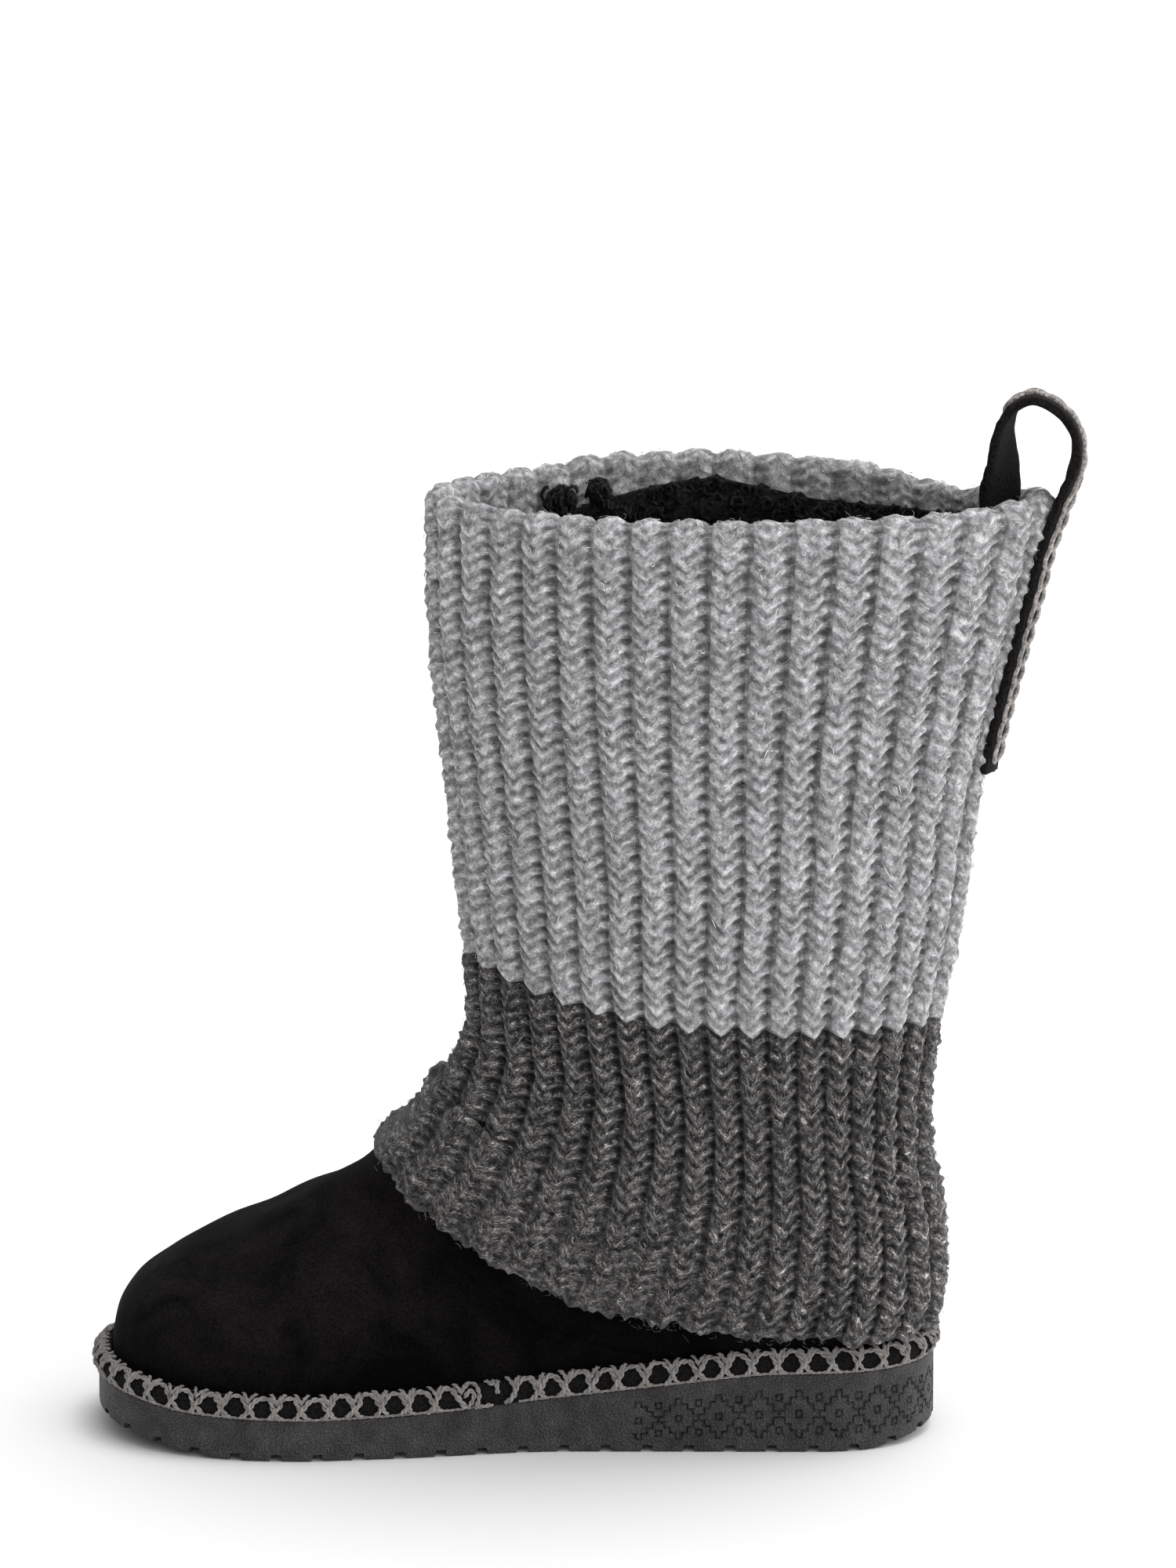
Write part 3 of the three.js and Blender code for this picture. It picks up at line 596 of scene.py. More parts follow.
def yarn_material(name, dark, mid, pale, along, around):
    """Wool or cotton yarn: fibres run along it in streaks of three greys, and each stitch has its own tone."""
    material = finish_material(name, roughness=0.9, specular=0.08, sheen=0.5)
    tone = attribute(material, "tone")
    along_strand = shader_node(material, "TexCoord").outputs["UV"]
    strand = shader_node(material, "Mapping", Vector=along_strand, Scale=(along, around, 1)).outputs[0]
    own = shader_node(material, "CombineXYZ", X=tone, Z=tone).outputs[0]
    shift = shader_node(material, "VectorMath")
    shift.operation = "MULTIPLY_ADD"
    shift.inputs[1].default_value = (OWN_SHIFT, OWN_SHIFT, OWN_SHIFT)
    material.node_tree.links.new(own, shift.inputs[0])
    material.node_tree.links.new(strand, shift.inputs[2])
    fibres = texture(material, "Noise", shift.outputs[0], Scale=1.0, Detail=3, Roughness=0.6, Distortion=0.4)
    colour = ramp_between(material, fibres, (0.4, dark), (0.5, mid), (0.6, pale))
    paint(material, colour, ramp_between(material, tone, (0.0, 0.45), (1.0, 1.0)))
    bump(material, fibres, strength=0.9, distance=0.9)
    return material


tape_black = black_finish(
    "woven_tape", "Voronoi", (0.1, 0.015), (0.7, 0.005), strength=0.6, distance=0.4,
    roughness=0.9, specular=0.04, sheen=0.03, Scale=1300)
tape_run = np.arange(0, OUTLINE_LENGTH, 1.6)
tape_face = [on_trim(tape_run, share, -0.25)[0] for share in np.linspace(0, 1, 12)]
tape_point, tape_out = on_outline(tape_run)
tape_xy = tape_point - tape_out * TAPE_INSET
tape_back = [np.column_stack([tape_xy, sole_top(tape_xy[:, 0]) + up]) for up in (6.0, 0.3)]
tape_points = np.array([*tape_face, *tape_back, tape_face[0]])
welt_tape = mesh_piece(
    "welt_tape", tape_points, [grid_faces(len(tape_points), len(tape_run))], tape_black, weld=True)
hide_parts("welt_trim")
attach(welt_tape, "root")

LACE_COUNT = 75
LACE_PITCH = OUTLINE_LENGTH / LACE_COUNT
JOIN_RUN = float(np.interp(108.0, outline_x, outline_run[:len(outline_x)]))
JOIN_GAP = 7.5
# Each strand rises from a foot on the sole, crosses its neighbour, arches over a gap and comes down the same way.
STRAND_RUN = [-0.27, -0.13, 0.0, 0.12, 0.19, 0.3, 0.5, 0.7, 0.81, 0.88, 1.0, 1.13, 1.27]
STRAND_SHARE = [0.05, 0.2, 0.41, 0.58, 0.71, 0.82, 0.86, 0.82, 0.71, 0.58, 0.41, 0.2, 0.05]
STRAND_PROUD = [0.35, 0.4, 0.45, 0.5, 0.5, 0.5, 0.5, 0.5, 0.65, 0.9, 1.1, 0.8, 0.4]
# Where the lacing's two ends meet, its last strands curl up beside a bare stretch of tape.
JOIN_STRANDS = [
    [(7.4, 0.05), (6.2, 0.25), (5.6, 0.55), (6.4, 0.85), (8.2, 0.97), (10.4, 0.8)],
    [(9.6, 0.1), (8.2, 0.3), (7.2, 0.6), (8.8, 0.72), (10.6, 0.5)],
    [(1.0, 0.03), (2.2, 0.1), (3.4, 0.06), (5.2, 0.08), (7.0, 0.03)],
    [(0.2, 0.96), (1.0, 0.84), (2.2, 0.9), (2.9, 0.98)],
    [(-1.2, 0.92), (-0.4, 0.75), (-0.5, 0.5)],
]
lace_yarn = yarn_material(
    "lacing_yarn", (0.13, 0.115, 0.106), (0.52, 0.473, 0.442), (0.96, 0.9, 0.855), along=1.6, around=4.0)
draw = np.random.default_rng(11)
crossings = JOIN_RUN + JOIN_GAP + LACE_PITCH * (0.5 + np.arange(LACE_COUNT - 1))
strands, forks = len(crossings) - 1, len(crossings)
knots = np.arange(len(STRAND_RUN))
steps = np.linspace(0, knots[-1], 38)
wobble = soft_noise(
    draw.uniform(0, 900, (strands, 1, 3)) + steps[None, :, None] * np.array([1.0, 0.6, 0.3]), 4.0, seed=12)
run = crossings[:-1, None] + (through(knots, STRAND_RUN, steps) + 0.028 * wobble) * LACE_PITCH
share = through(knots, STRAND_SHARE, steps) + 0.022 * wobble[:, ::-1] + draw.normal(0, 0.015, (strands, 1))
path, normal = on_trim(run, np.clip(share, 0.03, 0.97), through(knots, STRAND_PROUD, steps))
lace_parts = two_ply(path, normal, draw.normal(0.94, 0.08, strands), twist=5.2)
fork = np.linspace(-1, 1, 11)
run = crossings[:, None] + 2.5 * fork + draw.normal(0, 0.3, (forks, 1)) + draw.normal(0, 0.3, (forks, 1)) * fork**2
share = 0.62 + 0.36 * np.abs(fork) ** 0.7 + draw.normal(0, 0.03, (forks, 1)) * (1 + fork)
path, normal = on_trim(run, np.clip(share, 0, 0.99), 1.0 - 0.3 * np.abs(fork))
lace_parts += two_ply(path, normal, draw.normal(0.8, 0.07, forks), twist=4.6)
thread_run = JOIN_RUN + JOIN_GAP + np.linspace(0, OUTLINE_LENGTH - 2 * JOIN_GAP, 700)
path, normal = on_trim(thread_run, 0.03 + 0.012 * np.sin(thread_run * 1.7), 0.35)
lace_parts += two_ply(path[None], normal[None], 0.56, twist=3.6)
for strand in JOIN_STRANDS:
    knots, fine = np.arange(len(strand)), np.linspace(0, len(strand) - 1, 24)
    run, share = (through(knots, column, fine) for column in zip(*strand))
    path, normal = on_trim(JOIN_RUN + run, share, 0.7)
    lace_parts += two_ply(path[None], normal[None], 0.82, twist=4.6)
points, faces, uv = join_tubes(lace_parts)
tone = 0.7 + 0.3 * soft_noise(points, 2.6, seed=13)
lacing = mesh_piece("welt_lacing", points, faces, lace_yarn, uv=uv, tone=tone)
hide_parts("welt_trim")
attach(lacing, "root")

# Pile lining
# Black curly pile sewn inside the whole boot. It shows as lumps and curls just below the collar's turned-in edge.
LEG_AXIS_X = 20
LINING_TOP = COLLAR_ROW - 0.36
LINING_INSIDE = -5.5
LINING_LIFT = 5.4
LINING_STEPS = 120
MEDIAL_PILE = ([-45, -12, 4, 36, 50, 75, 93, 105], [-1, 0, 1, 8, 6.5, 1.5, -5, -9])
LATERAL_PILE = ([-45, 10, 60, 105], [-1, 3, 2, -9])
pile = black_finish(
    "black_pile", "Noise", (0.35, 0.003), (0.7, 0.03), strength=1.0, distance=1.6,
    roughness=0.95, specular=0.03, sheen=0.08, Scale=420, Detail=6, Distortion=1.5)


def pile_rise(points):
    """How far the pile's top edge stands up or sinks at a place: it is highest half-way along the medial side."""
    medial, lateral = (np.interp(points[..., 0], *table) for table in (MEDIAL_PILE, LATERAL_PILE))
    across = np.clip(0.5 - points[..., 1] / 50, 0, 1)
    return (lateral + (medial - lateral) * across) * np.clip((points[..., 2] - 275) / 25, 0, 1)


lining_at = np.concatenate([
    np.arange(0, SUEDE_TOP_ROW, 0.5), np.arange(SUEDE_TOP_ROW, LINING_TOP, 0.1), [LINING_TOP]])
under_knit = np.clip(lining_at - SUEDE_TOP_ROW, 0, 1)
lining_outer = last_surface(lining_at, LINING_STEPS, -2.5 + 2.2 * under_knit, LINING_LIFT)
lining_inner = last_surface(lining_at, LINING_STEPS, LINING_INSIDE, LINING_LIFT)
lumps = np.abs(soft_noise(lining_inner, 9, seed=5)) * 1.6 + np.abs(soft_noise(lining_inner, 4.5, seed=6)) * 0.9
to_middle = unit(np.stack([LEG_AXIS_X - lining_inner[..., 0], -lining_inner[..., 1], np.zeros(lumps.shape)], -1))
lining_inner += to_middle * (lumps * np.clip((lining_at - SKIRT_ROW) / 3, 0, 1)[:, None])[..., None]
lining_outer[..., 2] += pile_rise(lining_outer)
lining_inner[..., 2] += pile_rise(lining_inner)
points, faces = last_wall(lining_at, lining_outer, lining_inner)
lining = mesh_piece("pile_lining", points, faces, pile, weld=True)
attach(lining, "root")

CURL_COUNT = 1400
CURL_STEPS = 8
CURLS_FROM = COLLAR_ROW - 2.5
CURL_RINGS = 40
RING_STEPS = 720
TUFT_CURLS = 70
# Two tufts have worked up over the knit's edge near the front.
TUFTS = [(np.array([88.0, -31.0, 305.0]), 2.4), (np.array([76.0, -35.0, 307.0]), 1.2)]
draw = np.random.default_rng(21)
curl_at = LINING_TOP - np.abs(draw.normal(0, 0.35, CURL_COUNT))
curl_ring = last_surface(np.linspace(CURLS_FROM, LINING_TOP, CURL_RINGS), RING_STEPS, -5.0)
ring_share = (curl_at - CURLS_FROM) / (LINING_TOP - CURLS_FROM)
pick = np.clip((ring_share * (CURL_RINGS - 1)).astype(int), 0, CURL_RINGS - 1)
curl_root = curl_ring[pick, draw.integers(0, RING_STEPS, CURL_COUNT)]
curl_root[:, 2] += pile_rise(curl_root)
for number, (tuft, size) in enumerate(TUFTS):
    tufted = slice(number * TUFT_CURLS, (number + 1) * TUFT_CURLS)
    curl_root[tufted] = tuft + draw.normal(0, size, (TUFT_CURLS, 3)) * 0.7
to_middle = unit(np.stack([LEG_AXIS_X - curl_root[:, 0], -2.2 * curl_root[:, 1], np.full(CURL_COUNT, 8.0)], -1))
along = unit(np.cross(to_middle, np.array([0, 0, 1.0])))
over = np.cross(along, to_middle)
phase = draw.uniform(0, 2 * math.pi, (CURL_COUNT, 1)) + np.linspace(0, 2.4 * math.pi, CURL_STEPS)
loop = draw.uniform(1.3, 2.6, (CURL_COUNT, 1))
rise = np.linspace(0, 1, CURL_STEPS) * draw.uniform(1.5, 5.0, (CURL_COUNT, 1))
paths = curl_root[:, None] + to_middle[:, None] * rise[..., None]
paths = paths + along[:, None] * (np.cos(phase) * loop)[..., None] + over[:, None] * (np.sin(phase) * loop)[..., None]
points, faces, _ = yarn_tubes(paths, np.broadcast_to(to_middle[:, None], paths.shape), 0.8, 0.8, 3, taper=0.5)
curls = mesh_piece("pile_curls", points, faces, pile)
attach(curls, "root")

# Knit shaft
# A tube of chunky one-by-one rib in brushed heather wool, charcoal below and pale grey above. Each rib is a column
# of V stitches, and purl bars lie in the groove beside it. The skirt falls over the suede and the collar is rolled in.
RIB_COUNT = 36
CHARCOAL_ROWS = 24
PALE_ROWS = 36
RIM_ROWS = 3
FOLD_ROWS = 3
KNIT_ROWS = CHARCOAL_ROWS + PALE_ROWS + RIM_ROWS + FOLD_ROWS
WALL_OUT = 3.0
RIM_RADIUS = 2.5
FOLD_DROP = 12
PER_RIB = 8
PER_ROW = 4
END_CROWDING = 0.08
SEEN_FROM_SIDE = ([9, 12, 14, 16, 19], [0.95, 0.9, 0.55, 0.25, 0.0])
LEG_LEAN, ANKLE_LEAN, HEM_LEAN = 0.19, 0.16, 0.24
CREASE = ([93, 112, 125, 140], [96, 107, 118, 128])
MEDIAL_LIFT = ([-60, -42, -27, -12, 4, 36, 65, 80, 96, 128], [-5, -7, -4, -1, 0, 2, 2, 1, -1, -2])
columns = RIB_COUNT * PER_RIB
knit_at = np.arange(SKIRT_ROW, COLLAR_ROW + 0.01, 0.1)
colour_index = int(np.argmin(np.abs(knit_at - COLOUR_ROW)))


def even_angles(at, out, count):
    """Angles of points that part a section of the last into equal lengths."""
    fine = np.linspace(0, 2 * math.pi, 721)
    run = run_along(last_surface(at, fine[None, :], out)[0])
    return np.interp(np.arange(count) * run[-1] / count, run, fine)


def crowding(share):
    """How far ribs near one end of a side are drawn to it, so that the ribs at the very end keep their width."""
    return END_CROWDING * share / (share + END_CROWDING) - END_CROWDING / (1 + END_CROWDING) * share


# The ribs are evenly spread round the collar. Down the leg they crowd at its back and front, until over the ankle
# they lie evenly as seen from the side, and from there they fan out again to the hem.
knit_turn = np.arange(columns) / columns
side_share = 1 - np.abs(1 - 2 * knit_turn)
side_share = side_share - crowding(side_share) + crowding(1 - side_share)
knit_angles = []
for at in knit_at:
    even_share = (1 - np.cos(even_angles(at, WALL_OUT, columns))) / 2
    share = even_share + (side_share - even_share) * np.interp(at, *SEEN_FROM_SIDE)
    lean = LEG_LEAN * np.clip((at - 15.5) / 3.5, 0, 1)
    lean -= ANKLE_LEAN * math.sin(math.pi * np.clip((14.5 - at) / 5.5, 0, 1))
    lean -= HEM_LEAN * np.clip((11.2 - at) / 2.2, 0, 1) ** 2
    share += lean * share * (1 - share)
    half_turn = np.arccos(np.clip(1 - 2 * share, -1, 1))
    knit_angles.append(np.where(knit_turn <= 0.5, half_turn, 2 * math.pi - half_turn))
knit_form = last_surface(knit_at, np.array(knit_angles), WALL_OUT)


def outward(grid):
    """Direction out of the knit at each point of a grid of its wall."""
    return unit(np.cross(np.gradient(grid, axis=0), np.roll(grid, -1, axis=1) - np.roll(grid, 1, axis=1)))


# The skirt breaks into a fold over the instep: a crease from the front down each side, with a roll below it.
from_crease = knit_form[..., 2] - np.interp(knit_form[..., 0], *CREASE)
fold_share = np.clip((knit_form[..., 0] - 84) / 30, 0, 1)
fold_share = fold_share * fold_share * (3 - 2 * fold_share)
fold_depth = 2.9 * np.exp(-((from_crease + 6.5) / 4.2) ** 2) - 1.6 * np.exp(-((from_crease - 1.5) / 3.2) ** 2)
knit_form += outward(knit_form) * (fold_depth * fold_share)[..., None]

# The collar rolls over in half a circle and goes straight down inside.
rim_angles = knit_angles[-1][None, :]
rim_out = unit(last_surface(COLLAR_ROW, rim_angles, WALL_OUT)[0] - last_surface(COLLAR_ROW, rim_angles, 0.0)[0])
rim_middle = knit_form[-1] - rim_out * RIM_RADIUS
rim = [
    rim_middle + RIM_RADIUS * (rim_out * math.cos(a) + np.array([0, 0, math.sin(a)]))
    for a in np.linspace(0, math.pi, 13)[1:]]
fold = [rim[-1] - np.array([0, 0, drop]) for drop in np.linspace(0, FOLD_DROP, 6)[1:]]
knit_form = np.concatenate([knit_form, rim, fold])
medial_lift = np.interp(knit_form[..., 0], *MEDIAL_LIFT)
medial_lift *= np.clip(-knit_form[..., 1] / 20, 0, 1) * np.clip((knit_form[..., 2] - 270) / 40, 0, 1)
knit_form[..., 2] += medial_lift

# Stitch rows are counted up each column, with so many to each colour, the roll and the turned-in edge.
stretch = np.linalg.norm(np.diff(knit_form, axis=0), axis=-1)
marks = [0, colour_index, len(knit_at) - 1, len(knit_at) - 1 + len(rim), len(knit_form) - 1]
mark_rows = np.cumsum([0, CHARCOAL_ROWS, PALE_ROWS, RIM_ROWS, FOLD_ROWS])
knit_row = np.zeros(knit_form.shape[:2])
for first, last, low, high in zip(marks, marks[1:], mark_rows, mark_rows[1:]):
    run = np.concatenate([np.zeros((1, columns)), stretch[first:last].cumsum(0)])
    knit_row[first:last + 1] = low + (high - low) * run / run[-1]
even_rows = np.arange(KNIT_ROWS * PER_ROW + 1) / PER_ROW
knit_grid = np.stack([
    np.stack([np.interp(even_rows, knit_row[:, j], knit_form[:, j, axis]) for axis in range(3)], -1)
    for j in range(columns)], 1)
knit_out = outward(knit_grid)


def on_knit(row, rib, out):
    """Point and outward direction of the knit at a stitch row and a rib number, out from its wall."""
    row, rib, out = np.broadcast_arrays(np.asarray(row, float), np.asarray(rib, float), np.asarray(out, float))
    r = np.clip(row * PER_ROW, 0, len(knit_grid) - 1.001)
    c = (rib * PER_RIB) % columns
    i, j = r.astype(int), c.astype(int) % columns
    u, w = (r - i)[..., None], (c - np.floor(c))[..., None]
    k = (j + 1) % columns

    def between(grid):
        return (grid[i, j] * (1 - w) + grid[i, k] * w) * (1 - u) + (grid[i + 1, j] * (1 - w) + grid[i + 1, k] * w) * u

    normal = unit(between(knit_out))
    return between(knit_grid) + normal * out[..., None], normal


# The wool is felted: each rib is a soft dome of V stitches, and on its rear side bars sink into a groove.
PALE_WOOL = ((0.26, 0.257, 0.268), (0.64, 0.635, 0.656), (0.97, 0.965, 0.98))
CHARCOAL_WOOL = ((0.004, 0.0037, 0.0035), (0.056, 0.0528, 0.0512), (0.46, 0.44, 0.428))
# Ramps from each point's tone, which carries painted light and shade, to a multiplier of the wool's colour.
PALE_SHADES = ((0.0, 0.06), (1.0, 1.0))
CHARCOAL_SHADES = ((0.15, 0.0), (0.6, 0.48), (1.0, 1.45))
V_MIDDLE = 0.14
V_HALF = 0.36
V_RISE = 1.9
RIB_MM = 12.0
ROW_MM = 4.4
STRAND_SHIFT = 7.3
SPARE_ROWS = 3
FRONT_RIB = RIB_COUNT / 2
STITCH_ROWS = KNIT_ROWS + 2 * SPARE_ROWS
draw = np.random.default_rng(30)
stitch_swell = draw.normal(0, 0.25, (STITCH_ROWS, RIB_COUNT, 2))
stitch_tone = draw.uniform(-0.18, 0.18, (STITCH_ROWS, RIB_COUNT, 2))
bar_tone = draw.uniform(0.6, 1.3, (STITCH_ROWS, RIB_COUNT))
rib_drift = draw.normal(0, 0.028, (STITCH_ROWS + 1, RIB_COUNT))


def stitch_number(row):
    return np.clip(np.floor(row).astype(int) + SPARE_ROWS, 0, STITCH_ROWS - 1)


def wool_form(row, rib):
    """Height of the wool over its wall in millimetres, its tone of painted light and shade mixed with each stitch's
    own random tone, and the way its fibres lie as a place along them, across them and in a strand of their own, at a
    stitch row and a rib number."""
    row, rib = np.broadcast_arrays(np.asarray(row, float), np.asarray(rib, float))
    along_rib = rib - 0.5 - V_MIDDLE + 1 - V_HALF
    column = np.floor(along_rib).astype(int) % RIB_COUNT
    course, part = stitch_number(row), row - np.floor(row)
    drift = rib_drift[course, column] * (1 - part) + rib_drift[course + 1, column] * part
    place = along_rib % 1 - (1 - V_HALF)
    bulge = 1 + 0.16 * np.cos(2 * math.pi * (row - V_RISE * V_HALF))
    from_middle = np.where(place > -0.5, (place + drift) / bulge, place + drift)
    # The two legs of each V rise from the rib's middle and swell at their crests.
    leg = np.minimum(np.abs(from_middle), V_HALF)
    side = (from_middle > 0).astype(int)
    phase = row - V_RISE * leg
    number = stitch_number(phase + 0.5)
    crest = 0.5 + 0.5 * np.cos(2 * math.pi * phase)
    dome = 1 - (leg / V_HALF) ** 2.6
    swell = 1.1 + stitch_swell[number, column, side]
    rib_height = 0.2 + 1.7 * dome + swell * crest * (0.55 + 0.45 * dome)
    # Each stitch's crest is painted lighter, as a painted highlight. The gap between the legs and the rib's sides
    # between stitches are painted darker, as painted shade. Each stitch adds its own random tone.
    gap_shade = np.exp(-(from_middle / 0.13) ** 2) * (1 - crest)
    rib_shade_and_tone = 0.6 + 0.35 * crest + stitch_tone[number, column, side] - 0.2 * gap_shade - 0.2 * (1 - dome) * (1 - crest)
    # The bars of the groove lie level and sink between two ribs.
    groove = np.clip((-V_HALF - from_middle) / (1 - 2 * V_HALF), 0, 1)
    bar = 0.5 + 0.5 * np.cos(2 * math.pi * (row + 0.2))
    sunk = np.sin(math.pi * groove**1.6)
    groove_height = 0.2 + bar * (1 - groove) ** 0.7 - 1.7 * sunk * (1 - 0.45 * bar)
    # The groove is painted darker the deeper it sinks and between its bars, as painted shade. Each bar adds its own
    # random tone.
    groove_shade_and_tone = (0.85 - 0.44 * sunk) * (0.34 + 0.66 * bar) * bar_tone[stitch_number(row + 0.7), column]
    in_groove = groove > 0
    height, tone = np.where(in_groove, groove_height, rib_height), np.where(in_groove, groove_shade_and_tone, rib_shade_and_tone)
    lies = np.minimum(np.abs(place), V_HALF) * RIB_MM
    up, own = row * ROW_MM, column * STRAND_SHIFT
    on_bar = np.stack([place * RIB_MM, up, own + 61], -1)
    on_leg = np.stack([0.7 * (up + lies), 0.7 * (up - lies), own + np.where(place > 0, 31, 0)], -1)
    strand = np.where((place < -V_HALF)[..., None], on_bar, on_leg)
    # On the collar's roll the ribs are drawn flat.
    rolled = np.clip((row - CHARCOAL_ROWS - PALE_ROWS + 2) / 4, 0, 1)
    height, tone = height + (2.1 - height) * 0.6 * rolled, tone + (0.8 - tone) * 0.35 * rolled
    # Over the instep the hem is felted so far that the ribs all but close.
    felted = np.clip((13 - row) / 9, 0, 1) * np.clip((0.75 - np.abs(rib - FRONT_RIB) / FRONT_RIB) / 0.3, 0, 1)
    return height + (1.5 - height) * 0.68 * felted, tone + (0.62 - tone) * 0.6 * felted, strand


def wool_material(name, dark, mid, pale, fleck_dark, fleck_pale, shades):
    """Brushed heather wool: three greys streak along the strands, over broader flecks and a tone of painted light and
    shade mixed with each stitch's own.
    """
    material = finish_material(name, roughness=0.95, specular=0.04, sheen=0.25)
    strand = attribute(material, "strand", "Vector")
    lie = shader_node(material, "Mapping", Vector=strand, Scale=(0.5, 1.4, 1)).outputs[0]
    fibres = texture(material, "Noise", lie, Scale=1.0, Detail=6, Roughness=0.76, Distortion=1.6)
    heather = texture(material, "Noise", Scale=420, Detail=4)
    paint(
        material, ramp_between(material, fibres, (0.36, dark), (0.5, mid), (0.64, pale)),
        ramp_between(material, attribute(material, "tone"), *shades),
        ramp_between(material, heather, (0.36, fleck_dark), (0.64, fleck_pale)))
    bump(material, fibres, strength=0.9, distance=0.7)
    return material


SKIN_PLACES = np.array([-0.632, -0.54, -0.45, -0.365, -0.355, -0.25, -0.125, -0.004, 0.004, 0.125, 0.25, 0.355])
SKIN_BACK = -2.2
skin_ribs = (np.arange(RIB_COUNT)[:, None] + 0.5 + V_MIDDLE + SKIN_PLACES).ravel()
skin_leg = np.tile(np.minimum(np.abs(SKIN_PLACES), V_HALF), RIB_COUNT)


def knit_skin(name, first_row, last_row, per_row, material, seed):
    """Wall of felted rib between two rows; its rows follow the V stitches, so two colours meet in a zigzag."""
    courses = np.arange((last_row - first_row) * per_row + 1) / per_row + first_row
    drawn = np.clip(courses / 2, 0, 1) * np.clip((KNIT_ROWS - courses) / 4, 0, 1)
    drawn *= 1 - 0.5 * np.exp(-((courses - CHARCOAL_ROWS) / 1.5) ** 2)
    rows = courses[:, None] + drawn[:, None] * V_RISE * (skin_leg - V_HALF / 2)
    height, tone, strand = wool_form(rows, skin_ribs)
    middle, _ = on_knit(rows, skin_ribs, 0.0)
    height = height + 0.28 * soft_noise(middle, 6, seed) + 0.16 * soft_noise(middle, 2.6, seed + 1)
    # The hem is thin and uneven.
    hem = np.sqrt(np.clip(courses / 0.8, 0, 1))[:, None]
    ragged = 0.35 + 0.22 * soft_noise(middle[:1], 8, seed + 2) + 0.22 * soft_noise(middle[:1], 3.4, seed + 3)
    rows = rows + np.clip(1 - courses / 2, 0, 1)[:, None] * ragged
    outer, _ = on_knit(rows, skin_ribs, height * hem - 0.8 * (1 - hem))
    tucked = [n for n in range(0, len(courses), 3 * per_row) if courses[n] <= CHARCOAL_ROWS + PALE_ROWS - 2]
    tucked += [len(courses) - 1] if courses[-1] <= CHARCOAL_ROWS else []
    inner = np.array([on_knit(rows[n], skin_ribs, SKIN_BACK)[0] for n in tucked[::-1]])
    back = len(inner) + 1
    points = np.concatenate([outer, inner, outer[:1]])
    # The tucked-back wall beneath the knit is painted dark, as painted shade.
    tone = np.concatenate([tone, np.full((back, len(skin_ribs)), 0.2)])
    strand = np.concatenate([strand, np.broadcast_to(strand[:1], (back, *strand.shape[1:]))])
    piece = mesh_piece(
        name, points, [grid_faces(len(points), len(skin_ribs))], material, tone=tone, strand=strand, weld=True)
    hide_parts("shaft")
    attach(piece, "root")


charcoal_wool = wool_material("charcoal_wool", *CHARCOAL_WOOL, 0.22, 2.4, CHARCOAL_SHADES)
pale_wool = wool_material("pale_wool", *PALE_WOOL, 0.6, 1.4, PALE_SHADES)
knit_skin("knit_charcoal", 0, CHARCOAL_ROWS, 6, charcoal_wool, seed=31)
knit_skin("knit_pale", CHARCOAL_ROWS, KNIT_ROWS, 5, pale_wool, seed=33)

# Brushed fibres: bright wisps lie along the legs and the bars, and fine ones stand off the wool as a thin halo.
FIBRE_STEPS = 4
FIBRE_SIDES = 3
HAIR_HALF = 0.045


